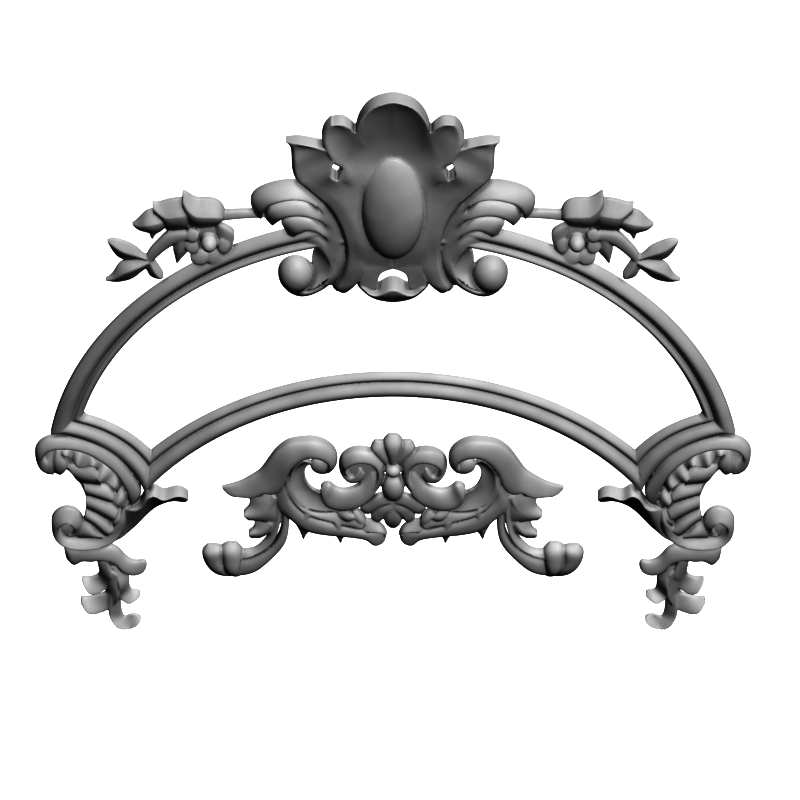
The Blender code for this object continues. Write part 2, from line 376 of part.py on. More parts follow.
def build_strip(sections, height, across, deep):
    """Closed mesh of a strip: top surface, upright sides and a flat underside behind the back plane."""
    mesh = bmesh.new()
    top, under = [], []
    for section in sections:
        upper_row, under_row = [], []
        for j in range(across + 1):
            s = 0.5 * (1 - math.cos(math.pi * j / across))
            x = section[0] * (1 - s) + section[3] * s
            z = section[1] * (1 - s) + section[4] * s
            front = max(height(section, s), THINNEST)
            upper_row.append(mesh.verts.new((x * MM, -front * MM, z * MM)))
            under_row.append(mesh.verts.new((x * MM, deep * MM, z * MM)))
        top.append(upper_row)
        under.append(under_row)
    for i in range(len(sections) - 1):
        for j in range(across):
            mesh.faces.new((top[i][j], top[i][j + 1], top[i + 1][j + 1], top[i + 1][j]))
            mesh.faces.new((under[i + 1][j], under[i + 1][j + 1], under[i][j + 1], under[i][j]))
        for j in (0, across):
            mesh.faces.new((top[i][j], top[i + 1][j], under[i + 1][j], under[i][j]))
    for i in (0, -1):
        for j in range(across):
            mesh.faces.new((top[i][j], top[i][j + 1], under[i][j + 1], under[i][j]))
    bmesh.ops.remove_doubles(mesh, verts=mesh.verts, dist=0.00001)
    bmesh.ops.recalc_face_normals(mesh, faces=mesh.faces)
    return mesh


def build_dome(column, row, at, half_width, half_height, base, rise_by, sectors, rings, lobes=0):
    """Closed mesh of a dome on an upright oval drum; with lobes, its outline is scalloped."""
    centre_x, centre_z = face_point(column, row, at)
    mesh = bmesh.new()
    deep = 0.0

    def reach(angle):
        if not lobes:
            return 1.0
        return 0.80 + 0.20 * abs(math.cos(lobes / 2 * (angle - math.pi / 2))) ** 0.7

    def place(share, angle, front):
        x = centre_x + half_width * share * reach(angle) * math.cos(angle)
        z = centre_z + half_height * share * reach(angle) * math.sin(angle)
        return mesh.verts.new((x * MM, -front * MM, z * MM))

    def front_at(share, angle):
        if not lobes:
            return base + rise_by * math.sqrt(max(0.0, 1 - share * share))
        lobe = abs(math.cos(lobes / 2 * (angle - math.pi / 2)))
        return base + rise_by * lobe * math.sin(math.pi * share)

    angles = [2 * math.pi * k / sectors for k in range(sectors)]
    crown = mesh.verts.new((centre_x * MM, -front_at(0.0, 0.0) * MM, centre_z * MM))
    rows = []
    for i in range(1, rings + 1):
        share = math.sin(math.pi / 2 * i / rings)
        rows.append([place(share, angle, front_at(share, angle)) for angle in angles])
    rows.append([place(1.0, angle, deep) for angle in angles])
    for k in range(sectors):
        following = (k + 1) % sectors
        mesh.faces.new((crown, rows[0][k], rows[0][following]))
        for inner, outer in zip(rows, rows[1:]):
            mesh.faces.new((inner[k], outer[k], outer[following], inner[following]))
    mesh.faces.new(list(reversed(rows[-1])))
    bmesh.ops.recalc_face_normals(mesh, faces=mesh.faces)
    return mesh


def rail_height(section, s):
    """Height across a rail: bead, groove and broad roll, from the opening side outwards."""
    if s < BEAD_SHARE:
        across = abs(2 * s / BEAD_SHARE - 1)
        return RAIL_GROOVE + (BEAD_CREST - RAIL_GROOVE) * max(0.0, 1 - across ** 2.2) ** 0.55
    across = abs(2 * (s - BEAD_SHARE) / (1 - BEAD_SHARE) - 1)
    return RAIL_GROOVE + (ROLL_CREST - RAIL_GROOVE) * max(0.0, 1 - across ** 3.0) ** 0.6


def rail_sections(centre_x, centre_z, inner_radius, outer_radius, inner_span, outer_span, step):
    """Sections of a rail between two arcs round one centre; the spans are its mitred ends, in degrees."""
    length = abs(math.radians(inner_span[1] - inner_span[0])) * inner_radius
    count = max(4, round(length / step))
    sections = []
    for i in range(count + 1):
        inner = math.radians(inner_span[0] + (inner_span[1] - inner_span[0]) * i / count)
        outer = math.radians(outer_span[0] + (outer_span[1] - outer_span[0]) * i / count)
        sections.append((
            centre_x + inner_radius * math.cos(inner), centre_z + inner_radius * math.sin(inner), 0.0,
            centre_x + outer_radius * math.cos(outer), centre_z + outer_radius * math.sin(outer), 0.0, 0.0))
    return sections


class Carving:
    """The left half of one piece, gathered as closed meshes, then united, cut flat and mirrored."""

    def __init__(self, name):
        self.name = name
        self.members = bpy.data.collections.new(name + "_members")
        bpy.context.scene.collection.children.link(self.members)

    def add(self, mesh):
        """Keep a closed mesh as one member of the piece."""
        data = bpy.data.meshes.new(f"{self.name}_member_{len(self.members.objects):02d}")
        mesh.to_mesh(data)
        mesh.free()
        member = bpy.data.objects.new(data.name, data)
        member.hide_render = True
        member.display_type = "WIRE"
        self.members.objects.link(member)

    def deep(self):
        """Depth behind the back plane, a little different for every member so that no faces coincide."""
        return BACK + 0.02 * len(self.members.objects)

    def stroke(self, stations, height=None, across=ACROSS, step=STEP):
        """Add a strip drawn by its stations."""
        sections = cross_sections(stations, step)
        self.add(build_strip(sections, height or swelling(roll), across, self.deep()))

    def dome(self, *sizes, lobes=0):
        """Add a dome."""
        mesh = build_dome(*sizes, lobes=lobes)
        for vertex in mesh.verts:
            if vertex.co.y > -0.000001:
                vertex.co.y = self.deep() * MM
        self.add(mesh)

    def rails(self, sections, across=9):
        """Add moulded rails, given as sections that run through their mitres."""
        self.add(build_strip(sections, rail_height, across, self.deep()))

    def finish(self, material, facets):
        """Unite the members, keep about the given number of facets, cut the back flat and mirror."""
        members = list(self.members.objects)
        piece = bpy.data.objects.new(self.name, members[0].data.copy())
        bpy.context.scene.collection.objects.link(piece)
        self.members.objects.unlink(members[0])
        union = piece.modifiers.new("union", "BOOLEAN")
        union.operation = "UNION"
        union.solver = "EXACT"
        union.operand_type = "COLLECTION"
        union.collection = self.members
        depsgraph = bpy.context.evaluated_depsgraph_get()
        mesh = bmesh.new()
        mesh.from_mesh(piece.evaluated_get(depsgraph).to_mesh())
        piece.modifiers.clear()
        simplify(mesh, facets)
        half_and_back(mesh)
        mesh.to_mesh(piece.data)
        mesh.free()
        for polygon in piece.data.polygons:
            polygon.use_smooth = False
        piece.data.materials.clear()
        piece.data.materials.append(material)
        for member in members:
            bpy.data.objects.remove(member)
        bpy.data.collections.remove(self.members)
        return piece


def simplify(mesh, facets):
    """Collapse the edges that carry the least shape, down to a number of facets."""
    cut_flat(mesh, Vector((0, SPARE, 0)), Vector((0, 1, 0)), True)
    bmesh.ops.triangulate(mesh, faces=mesh.faces)
    for _ in range(CLEANING_ROUNDS):
        pinched = [edge for edge in mesh.edges if len(edge.link_faces) > 2]
        if pinched:
            bmesh.ops.collapse(mesh, edges=pinched)
        loose = [edge for edge in mesh.edges if not edge.link_faces]
        bmesh.ops.delete(mesh, geom=loose, context="EDGES")
    data = bpy.data.meshes.new("simplified")
    mesh.to_mesh(data)
    holder = bpy.data.objects.new("simplified", data)
    bpy.context.scene.collection.objects.link(holder)
    decimate = holder.modifiers.new("facets", "DECIMATE")
    decimate.ratio = min(1.0, facets / len(mesh.faces))
    depsgraph = bpy.context.evaluated_depsgraph_get()
    mesh.clear()
    mesh.from_mesh(holder.evaluated_get(depsgraph).to_mesh())
    bpy.data.objects.remove(holder)
    bpy.data.meshes.remove(data)


def half_and_back(mesh):
    """Cut a united half flat at the back and at the middle, mirror it and close the middle seam."""
    cut_flat(mesh, Vector((0, 0, 0)), Vector((0, 1, 0)), True)
    cut_flat(mesh, Vector((0, 0, 0)), Vector((1, 0, 0)), False)
    mirrored = bmesh.ops.duplicate(mesh, geom=mesh.verts[:] + mesh.edges[:] + mesh.faces[:])
    copies = [item for item in mirrored["geom"] if isinstance(item, bmesh.types.BMVert)]
    faces = [item for item in mirrored["geom"] if isinstance(item, bmesh.types.BMFace)]
    bmesh.ops.transform(mesh, matrix=Matrix.Scale(-1, 4, Vector((1, 0, 0))), verts=copies)
    bmesh.ops.reverse_faces(mesh, faces=faces)
    seam = [vertex for vertex in mesh.verts if abs(vertex.co.x) < 0.00001]
    for vertex in seam:
        vertex.co.x = 0.0
    bmesh.ops.remove_doubles(mesh, verts=seam, dist=0.00005)


def cut_flat(mesh, place, away, closed):
    """Cut off what lies beyond a plane, and close the cut if asked."""
    geometry = mesh.verts[:] + mesh.edges[:] + mesh.faces[:]
    cut = bmesh.ops.bisect_plane(
        mesh, geom=geometry, dist=0.000002, plane_co=place, plane_no=away, clear_outer=True)
    if closed:
        edges = [item for item in cut["geom_cut"] if isinstance(item, bmesh.types.BMEdge)]
        bmesh.ops.triangle_fill(mesh, edges=edges, use_beauty=True, use_dissolve=False, normal=away)


def primed_wood():
    """Carved wood under a satin grey primer."""
    material = bpy.data.materials.new("primed_wood")
    material.use_nodes = True
    shader = material.node_tree.nodes["Principled BSDF"]
    shader.inputs["Base Color"].default_value = PAINT
    shader.inputs["Roughness"].default_value = 0.45
    shader.inputs["Metallic"].default_value = 0.0
    material.diffuse_color = PAINT
    return material


def carve_cartouche(piece):
    """Cartouche: three-lobed body, its legs and foot, and the oval boss."""
    piece.stroke(BODY, bowl, across=5, step=16.0)
    for lobe in (INNER_LOBE, OUTER_LOBE):
        piece.stroke(lobe, swelling(dish), step=12.0)
    piece.stroke(LEG, rise, step=14.0)
    piece.stroke(FOOT_PANEL, swelling(dish), across=2, step=14.0)
    piece.stroke(LIP, swelling(dish), across=3, step=10.0)
    piece.dome(393, 210.5, 20, 43.0, 87.0, 18.0, 24.0, 20, 4)


def carve_side_scroll(piece):
    """Side scroll: the round base, four fanned bands, its trough and the ball in the volute."""
    piece.stroke(SCROLL_BASE, step=15.0)
    for band in (BAND_1, BAND_2, BAND_3, BAND_4):
        piece.stroke(band, across=4, step=13.0)
    piece.stroke(TROUGH, swelling(dish), across=3)
    piece.dome(295.5, 270.5, 0, 24.5, 30.5, 4.0, 26.0, 14, 4)


def carve_spray(piece):
    """Flower spray: stem, three-part rose, stalk with leaves and the open flower."""
    piece.stroke(SPRAY_STEM, across=3, step=26.0)
    for petal in (ROSE_1, ROSE_2, ROSE_3):
        piece.stroke(petal, swelling(fold), across=5, step=10.0)
    for sepal in (SEPAL_1, SEPAL_2, SEPAL_3, STALK_LEAF):
        piece.stroke(sepal, swelling(ridge), across=3, step=9.0)
    piece.stroke(STALK, across=3, step=12.0)
    for leaf in (LEAF_1, LEAF_2, LEAF_3):
        piece.stroke(leaf, swelling(ridge), across=3, step=12.0)
    piece.stroke(FLOWER_LEAF, swelling(dish), across=3)
    piece.dome(207.5, 248, 16, 29.0, 31.0, 11.0, 6.0, 20, 4, lobes=5)
    piece.dome(209, 242, 20, 11.5, 13.0, 12.0, 16.0, 12, 3)


def carve_shell(piece):
    """Corner: shell-shaped scroll with ruffles and flutes between two bands, and its side leaf."""
    piece.stroke(SHELL_FLOOR, swelling(dish), across=2, step=20.0)
    piece.stroke(VOLUTE_FLOOR, swelling(dish), across=2)
    piece.stroke(SHELL_BAND)
    piece.stroke(LOWER_BAND)
    for member in (CURL, KNOB):
        piece.stroke(member, across=4, step=9.0)
    for flute in FLUTES:
        piece.stroke(flute, across=4, step=14.0)
    for ruffle in RUFFLES:
        piece.stroke(ruffle, swelling(dish), across=3, step=9.0)
    piece.stroke(SIDE_LEAF, swelling(dish), across=3, step=12.0)


def carve_pendant(piece):
    """Pendant: a plate with a turned tip and four hanging lobes."""
    piece.stroke(PLATE, step=14.0)
    piece.stroke(PENDANT_FLOOR, swelling(dish), across=2, step=20.0)
    for lobe in PENDANT_LOBES:
        piece.stroke(lobe, across=4, step=12.0)


def carve_rails(piece):
    """Crescent frame: upper arch, corner rail and lower arch, mitred into one another."""
    upper = rail_sections(0.0, UPPER_CENTRE, UPPER_RADIUS, UPPER_RADIUS + RAIL_WIDTH,
                          (93.0, 165.5), (93.0, 171.2), 30.0)
    corner = rail_sections(CORNER_X, CORNER_Z, CORNER_RADIUS, CORNER_RADIUS - CORNER_WIDTH,
                           (71.4, 35.4), (82.6, 15.2), 22.0)
    lower = rail_sections(0.0, LOWER_CENTRE, LOWER_RADIUS, LOWER_RADIUS - RAIL_WIDTH,
                          (137.9, 88.0), (145.9, 88.0), 30.0)
    piece.rails(upper + corner[1:] + lower[1:])


def carve_centre(piece):
    """Centre ornament: big leaf scrolls, inner volutes, fan, pear and tongues."""
    piece.stroke(CRESCENT, swelling(dish), across=3)
    piece.stroke(EYE_FLOOR, swelling(dish), across=2)
    for leaf in TAIL_LEAVES:
        piece.stroke(leaf, swelling(dish), across=3)
    piece.stroke(BIG_SCROLL)
    for member in (RIM, SWEEP, TAIL_INNER, TAIL_OUTER, INNER_SCROLL, TRAY):
        piece.stroke(member, step=14.0)
    for member in (SWEEP_TIP, *THORNS):
        piece.stroke(member, across=3, step=10.0)
    for bulb in TAIL_BULBS:
        piece.stroke(bulb, across=5, step=10.0)
    piece.dome(324, 466.5, 8, 14.5, 15.0, 4.0, 10.0, 10, 3)
    for member in (TONGUE_MIDDLE, *TONGUES, FAN_SIDE, FAN_MIDDLE):
        piece.stroke(member, across=4, step=12.0)
    piece.dome(393, 489, 12, 16.0, 24.0, 7.0, 16.0, 14, 3)
    piece.dome(393, 470, 12, 11.5, 10.5, 10.0, 14.0, 12, 3)


def main():
    for item in list(bpy.data.objects):
        bpy.data.objects.remove(item)
    material = primed_wood()
    crest = Carving("crest")
    carve_rails(crest)
    carve_cartouche(crest)
    carve_side_scroll(crest)
    carve_spray(crest)
    carve_shell(crest)
    carve_pendant(crest)
    crest.finish(material, CREST_FACETS)
    centre = Carving("centre_ornament")
    carve_centre(centre)
    centre.finish(material, CENTRE_FACETS)


main()
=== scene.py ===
"""Dressed model of a carved overdoor onlay: an arched crest with a cartouche and a centre scroll ornament.

Both carvings have a flat back at y = 0 and face -Y. Each is cut from many strokes: a stroke is a strip
between two edges that swells or sinks across its width. A station of a stroke is
(ax, ay, ah, bx, by, bh, swell): its two edge points on the drawing grid, their heights in front of the
back in millimetres, and how far the middle of the strip rises or sinks between them.
"""

import logging
import math
from dataclasses import dataclass, field
from enum import Enum

import bpy
import numpy as np
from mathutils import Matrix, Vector


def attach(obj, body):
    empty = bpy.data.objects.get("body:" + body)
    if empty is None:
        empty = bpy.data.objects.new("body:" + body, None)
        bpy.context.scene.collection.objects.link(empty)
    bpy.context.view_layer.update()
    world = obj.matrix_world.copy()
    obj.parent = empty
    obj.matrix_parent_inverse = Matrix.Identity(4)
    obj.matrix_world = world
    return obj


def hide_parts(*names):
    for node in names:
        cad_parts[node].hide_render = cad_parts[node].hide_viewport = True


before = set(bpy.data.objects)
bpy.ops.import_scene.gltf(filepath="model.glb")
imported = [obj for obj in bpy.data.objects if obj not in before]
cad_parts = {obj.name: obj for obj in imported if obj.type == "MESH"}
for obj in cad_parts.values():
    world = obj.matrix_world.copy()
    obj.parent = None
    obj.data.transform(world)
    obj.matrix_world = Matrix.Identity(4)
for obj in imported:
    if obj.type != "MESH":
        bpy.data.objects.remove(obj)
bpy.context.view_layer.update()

MM = 0.001
UNIT = 1.4                    # mm, one square of the drawing grid
TILT = math.radians(43.0)     # the drawing, and the camera, look down on the face by this angle
MIDDLE, LEVEL = 393.0, 210.0  # grid column of the middle line, grid row of the origin's level
PICTURE = 800                 # squares across the picture
THINNEST = 2.0                # mm, the least height of any carved edge
BACK = 3.0                    # mm that a stroke is built deeper than the back, before the cut
BACK_STEP = 0.02              # mm between the depths of two members, so that no faces coincide
DRAW_OUT = (0.0, 0.1, 0.0)    # metres that an edge is drawn out backwards before it is flattened
WELD = 0.00001                # metres within which the points of a stroke are joined
SEAM = 0.0000005              # metres within which the halves are joined at the middle line
CREST_KEPT = 0.6              # share of a leaning member's lift that its swell gives up
GLOBE_CUT = 0.002             # share of a globe's radius left off in front of its middle
SMOOTH_BELOW = math.radians(60.0)

Station = tuple[float, float, float, float, float, float, float]
Stations = tuple[Station, ...]

log = logging.getLogger("onlay")

# The crest's cartouche
BODY = (
    (389, 103.2, 23, 394.5, 103, 23, 0), (381, 105.5, 24, 394.5, 108, 20, -1),
    (371, 110, 24, 394.5, 115, 16, -2), (363, 118, 24, 394.5, 124, 12, -3),
    (357, 130, 23, 394.5, 137, 7.5, -3), (352, 147, 17, 394.5, 152, 5, -2),
    (345, 160, 18, 394.5, 168, 5.5, 0), (341, 174, 22, 394.5, 186, 9, 0),
    (336, 188, 22, 394.5, 205, 12, -1), (342, 207, 22, 394.5, 222, 16, -1),
    (352, 226, 22, 394.5, 240, 21, -1), (357, 246, 23, 394.5, 254, 23, 0),
    (360, 262, 20, 394.5, 268.5, 20, 0))
INNER_LOBE = (
    (331, 126, 22, 333, 126, 22, 0), (326, 131, 22, 341, 125.5, 23, -2),
    (322.5, 139, 23, 350, 129.5, 22, -4), (322, 148, 25, 358, 137, 19, -4),
    (326.5, 159, 27, 364, 147, 12, -3), (333, 167.5, 27, 368, 158, 8, -2),
    (339, 170, 26, 368, 170, 8, -1), (342.5, 175, 25, 366, 182, 10, 0),
    (341, 180.5, 24, 362, 192, 12, 0))
OUTER_LOBE = (
    (285, 142.5, 14, 287, 142.5, 14, 0), (289, 147.5, 17, 298, 144.5, 20, -1),
    (291, 155, 19, 311, 147, 21, -3), (291.5, 165, 21, 324, 150.5, 22, -3),
    (292.5, 175.5, 21, 332, 157, 22, -3), (298, 186, 21, 332.5, 167, 25, -2),
    (309, 192, 21, 330.5, 177, 26, -1), (322, 199, 21, 338, 182, 22, 0),
    (336, 209, 21, 350, 190, 16, 0))
LEG = (
    (297, 186, 20, 306, 181, 21, 0), (308, 195, 20, 322, 187, 22, 0),
    (320, 205, 20, 335, 197, 22, 0), (330.5, 217, 20, 345, 208, 22, 0), (338, 231, 20, 354, 224, 23, 0),
    (342.5, 246, 20, 359, 240, 23, 0), (343, 260, 18, 362, 257, 21, 0), (340.5, 271.5, 15, 363, 270, 20, 2),
    (336, 282, 12, 360, 280.5, 17, 3), (332, 289, 8, 353, 288, 13, 4), (337, 293, 4, 347, 292.5, 6, 2))
FOOT_PANEL = (
    (358, 256, 22, 394.5, 264, 21, 0), (360, 263, 20, 394.5, 268.5, 20, 0),
    (364, 268, 20, 386, 271.5, 20, 0),
    (363, 275, 20, 380, 275.5, 20, 0), (360, 281, 19, 378, 282, 20, 0), (360, 289, 18, 376, 291, 19, 0))
LIP = (
    (357, 284.5, 12, 358, 286.5, 8, 0), (364, 290, 24, 364, 292.5, 9, 0),
    (371, 295.5, 29, 371, 297.5, 11, 1), (378, 296, 30, 379, 300.5, 13, 2),
    (384, 293.5, 31, 386, 301.8, 13, 3), (389, 291, 31, 390, 302.3, 13, 4),
    (397, 290.5, 31, 397, 302.5, 13, 4))

# The crest's two side scrolls
SCROLL_BASE = (
    (306, 188, 6, 303, 238, 5, 4), (322, 198, 6, 314, 246, 6, 7), (335, 212, 6, 322, 252, 7, 8),
    (344, 228, 6, 328, 259, 8, 8), (348, 245, 6, 331, 267, 9, 8), (347, 259, 6, 329, 276, 9, 7),
    (341, 271, 6, 323, 283, 9, 6), (331, 283, 5, 315, 288, 10, 5), (318, 291.5, 5, 306, 291, 11, 5),
    (303, 296, 5, 300, 289, 13, 5), (291, 293.5, 5, 297, 284, 18, 4), (283, 286, 5, 293, 277, 21, 3),
    (278.5, 274, 5, 290, 270, 22, 3))
BAND_1 = (
    (252, 208, 5, 261, 219.5, 7, 4), (250.5, 200, 5, 263, 214, 13, 9), (256, 191, 5, 269, 206, 17, 12),
    (268, 185, 5, 280, 201.5, 20, 13), (283, 181.5, 5, 293, 199.5, 20, 13),
    (297, 182, 7, 305, 201, 19, 11), (311, 188, 8, 316, 207, 17, 8),
    (324, 198, 8, 324, 216, 14, 6), (336, 211, 7, 329, 228, 13, 5), (345, 226, 7, 333, 243, 13, 4),
    (349.5, 243, 6, 335, 257, 13, 4), (349, 258, 5, 332, 269.5, 14, 4), (343, 272, 5, 329, 278, 15, 4),
    (334, 284, 4, 323.5, 285, 15, 3))
BAND_2 = (
    (263.5, 215.5, 5, 273, 226, 6, 4), (267, 208, 8, 279, 221, 12, 8), (279, 203, 11, 288, 217, 16, 9),
    (292, 200.5, 12, 299, 216, 17, 9), (306, 202, 13, 311, 218, 18, 8),
    (318, 208, 13, 321, 222.5, 17, 5), (329, 218, 13, 330, 230, 15, 2))
BAND_3 = (
    (281, 223, 6, 291, 237.5, 5, 4), (285, 219.5, 8, 297, 235, 10, 8), (296, 217, 11, 306, 231, 14, 8),
    (309, 218, 13, 315, 231.5, 15, 7), (320, 223.5, 13, 324, 237, 15, 5), (331, 233, 12, 332, 247, 14, 2))
BAND_4 = (
    (297, 238.5, 4, 300, 241.5, 4, 2), (303, 233.5, 6, 307, 244.5, 5, 5), (312, 232.5, 9, 317, 248.5, 6, 7),
    (323, 237, 11, 324, 255, 8, 7), (331, 247, 12, 329, 264, 9, 5), (334, 259, 12, 330, 273, 10, 4))
TROUGH = (
    (317, 249, 10, 313, 252, 4, 0), (325, 256, 12, 312, 259, 4, -2), (330, 266, 14, 312, 267, 4, -3),
    (329, 276, 16, 309, 275, 4, -4), (322, 284, 17, 303, 281, 4, -4), (312, 290, 17, 298, 286, 4, -3),
    (300, 293.5, 15, 294, 288, 4, -2))

# The flower sprays
SPRAY_STEM = (
    (214, 212, 5, 214, 222, 8, 3), (238, 210.5, 5, 238, 219, 8, 3), (262, 210.5, 5, 264, 217.5, 8, 3))
ROSE_1 = (
    (182.5, 191.5, 5, 182, 211, 8, 6), (187, 193.5, 5, 188, 223, 6, 13), (196, 198.5, 5, 197, 227.5, 5, 17),
    (206, 199, 5, 207, 227, 5, 18), (216, 200.5, 5, 214, 226, 5, 17), (223, 206.5, 5, 220, 222.5, 5, 12),
    (225.5, 213, 4, 224, 218.5, 4, 4))
ROSE_2 = (
    (152, 203, 5, 154, 214, 7, 4), (158, 203.5, 5, 163, 222, 6, 10), (165, 201.5, 5, 170, 230, 5, 14),
    (174, 199.5, 5, 178, 230, 5, 15), (183, 199.5, 5, 186, 229, 5, 13), (190, 202, 5, 190, 226, 6, 8))
ROSE_3 = (
    (132, 224, 4, 132.5, 225.5, 4, 0), (137.5, 220, 4, 138, 230, 4, 6), (144, 213.5, 4, 146, 232.5, 4, 12),
    (150, 210, 4, 155, 234, 4, 14), (158, 210.5, 4, 163, 230, 4, 12), (166, 213, 4, 167, 226, 5, 8))
SEPAL_1 = ((149, 230, 6, 159, 231, 6, 3), (150, 236, 4, 155, 236, 4, 2), (151.5, 239.5, 3, 153, 239.5, 3, 0))
SEPAL_2 = ((164, 220, 8, 171, 221, 8, 3), (165, 227, 6, 171, 227, 6, 3), (167, 232, 4, 169, 232, 4, 1))
SEPAL_3 = ((185, 214, 10, 194, 218, 10, 3), (183, 222, 9, 192, 224, 9, 4), (186, 229, 6, 190.5, 229, 6, 3),
           (188, 232.5, 3, 189, 232.5, 3, 0))
STALK = (
    (196, 231, 5, 194, 241, 5, 6), (180, 229.5, 5, 181, 241.5, 5, 6), (169, 231.5, 5, 173, 245, 5, 6),
    (159, 240, 5, 164, 251, 5, 5), (151, 248, 4, 157, 257, 4, 5), (146, 256, 4, 152, 262, 4, 4))
STALK_LEAF = (
    (175, 241, 8, 189, 240, 8, 3), (173, 249, 6, 189, 250, 6, 5), (174.5, 256, 4, 183, 257, 4, 4),
    (176, 263, 3, 177.5, 264, 3, 0))
LEAF_1 = (
    (107, 240.5, 4, 108, 243.5, 4, 1), (116, 239.5, 4, 113, 252, 4, 7), (126, 242.5, 4, 121, 259, 4, 9),
    (136, 247.5, 4, 132, 260, 4, 8), (143.5, 254, 4, 141, 259.5, 4, 6), (150, 257, 4, 147, 262, 4, 4))
LEAF_2 = (
    (105, 279.5, 4, 106, 281, 4, 1), (112, 274.5, 4, 114, 282.3, 4, 5), (118, 265.5, 4, 124, 281.5, 4, 9),
    (125, 260.5, 4, 133, 278.5, 4, 11), (135, 259, 4, 141, 272.5, 4, 10), (148, 257, 4, 149, 267, 4, 6))
LEAF_3 = (
    (153, 257.5, 4, 145, 264, 4, 4), (158, 265, 4, 147.5, 272.5, 4, 7), (162, 271, 4, 152, 277.5, 4, 7),
    (163.5, 276, 4, 158, 279.2, 4, 4), (162.8, 278.5, 3, 161.5, 279.5, 3, 0))
FLOWER_LEAF = (
    (214, 222, 5, 222, 224.5, 6, 2), (216, 232, 5, 233, 232, 8, 4), (216, 244, 5, 234, 241, 8, 4),
    (214, 256, 5, 229, 253, 7, 4), (212, 264, 4, 222, 263.5, 5, 2))

# The shell-shaped corner scrolls
SHELL_BAND = (
    (54, 475, 4, 52, 467, 7, 3), (44, 472.5, 4, 48.5, 462.5, 8, 5), (37.5, 465, 4, 44, 459, 9, 6),
    (35, 455, 4, 43.5, 456.5, 10, 7), (37, 445.5, 5, 47, 452.5, 11, 7), (45, 439, 6, 54, 450, 12, 7),
    (58, 436.5, 8, 64, 449.5, 13, 7), (75, 437, 9, 77, 451, 14, 7), (92, 441, 10, 91, 456, 15, 7),
    (108, 448.5, 11, 104, 464, 16, 7), (121, 459, 11, 115, 473, 16, 7), (131, 471.5, 10, 122, 483, 15, 7),
    (139.5, 484, 9, 127, 493, 13, 6), (141, 494, 8, 129, 500, 10, 5), (136.5, 503, 5, 131, 505, 6, 2))
CURL = (
    (43, 451, 4, 56, 447, 4, 1), (41, 459, 4, 54, 455, 5, 3), (41, 467, 5, 54, 463, 8, 4),
    (47, 474, 5, 56, 472, 6, 3))
KNOB = (
    (56, 449, 6, 61, 449, 6, 1), (53, 457, 6, 64, 456, 6, 7), (52, 465, 5, 67.5, 463, 5, 9),
    (55, 472, 4, 66, 469.5, 4, 6), (60, 475, 4, 62, 474, 4, 1))
FLUTES = (
    ((66, 465, 5, 78, 482, 5, 3), (82, 465, 6, 88, 483.5, 6, 8), (93, 465, 7, 97, 484.5, 7, 9),
     (99, 469, 8, 101, 485, 8, 8)),
    ((83, 483, 5, 86, 495, 5, 5), (95, 483.5, 6, 95, 497, 6, 9), (106, 485, 7, 104, 500, 7, 10),
     (115, 492, 8, 112, 502, 8, 8)),
    ((85.5, 496, 5, 86, 508, 5, 5), (97, 496.5, 6, 96, 512.5, 6, 9), (108, 500, 7, 104, 517, 7, 10),
     (119, 509, 8, 112, 521, 8, 8)),
    ((86, 509, 5, 84, 519.5, 5, 5), (97, 512.5, 6, 93, 524.5, 6, 9), (107, 518, 7, 101, 532.5, 7, 10),
     (115, 526, 8, 105, 535, 8, 8)),
    ((83, 520, 5, 77, 538, 6, 5), (91, 523, 6, 87, 538, 7, 8), (100, 531, 7, 96, 537.5, 8, 6),
     (106, 534.5, 8, 103, 538, 8, 3)))
SHELL_FLOOR = (
    (60, 450, 4, 66, 469, 4, 0), (80, 452, 4, 77, 480, 4, 0), (102, 462, 4, 84, 492, 4, 0),
    (120, 478, 4, 87, 504, 4, 0), (130, 497, 4, 85, 515, 4, 0), (128, 515, 4, 83, 523, 4, 0),
    (120, 530, 4, 81, 533, 4, 0), (110, 537, 4, 80, 539, 4, 0))
RUFFLES = (
    ((59, 450, 6, 60, 455, 8, 0), (66, 449, 8, 65, 457, 15, 2), (72, 449, 6, 70, 459, 11, 0),
     (76, 449, 6, 73, 461, 9, 0)),
    ((73, 450, 6, 72, 460, 9, 1), (80, 450, 8, 76, 467, 19, 3), (88, 452, 7, 84, 468, 14, 1),
     (95, 456, 8, 92, 467, 19, 2), (101, 461, 7, 97, 470, 12, 1), (106, 466, 6, 99, 474, 9, 0)),
    ((103, 463, 6, 96, 473, 10, 1), (109, 468, 8, 98, 482, 19, 3), (115, 473, 7, 106, 484, 14, 1),
     (119, 477, 8, 112, 488, 18, 2), (123, 483, 6, 117, 493, 9, 0)),
    ((120, 487, 6, 113, 497, 9, 1), (125, 491, 8, 115, 504, 17, 3), (129, 497, 7, 121, 508, 13, 1),
     (131, 503, 6, 126, 508, 9, 0)),
    ((123, 507, 6, 114, 513, 9, 1), (125, 515, 8, 113, 522, 15, 3), (122, 523, 6, 114, 528, 9, 0)))
LOWER_BAND = (
    (130, 501, 8, 125, 501, 8, 1), (128, 510, 8, 122, 510, 10, 2), (126, 522, 6, 120, 521, 13, 5),
    (121, 534, 9, 111, 528, 10, 5), (110, 545, 14, 101, 536, 8, 3), (94, 550, 16, 90, 538.5, 7, 2),
    (76, 550.5, 16, 76, 538.5, 7, 2), (62, 546.5, 13, 66, 538, 8, 4), (54, 537.5, 9, 61, 534, 10, 5),
    (51.5, 526, 7, 59, 529, 13, 5), (53, 516, 6, 62, 526, 16, 4), (61, 509.5, 7, 66, 524.5, 18, 2),
    (71, 508.5, 7, 71, 526, 18, 2), (79, 512.5, 6, 73, 528.5, 15, 4), (83.5, 520, 5, 74, 530, 12, 5),
    (82, 529, 6, 72, 532, 8, 4), (76, 536, 8, 69, 533, 6, 2), (69, 537.5, 8, 66.5, 531, 5, 1))
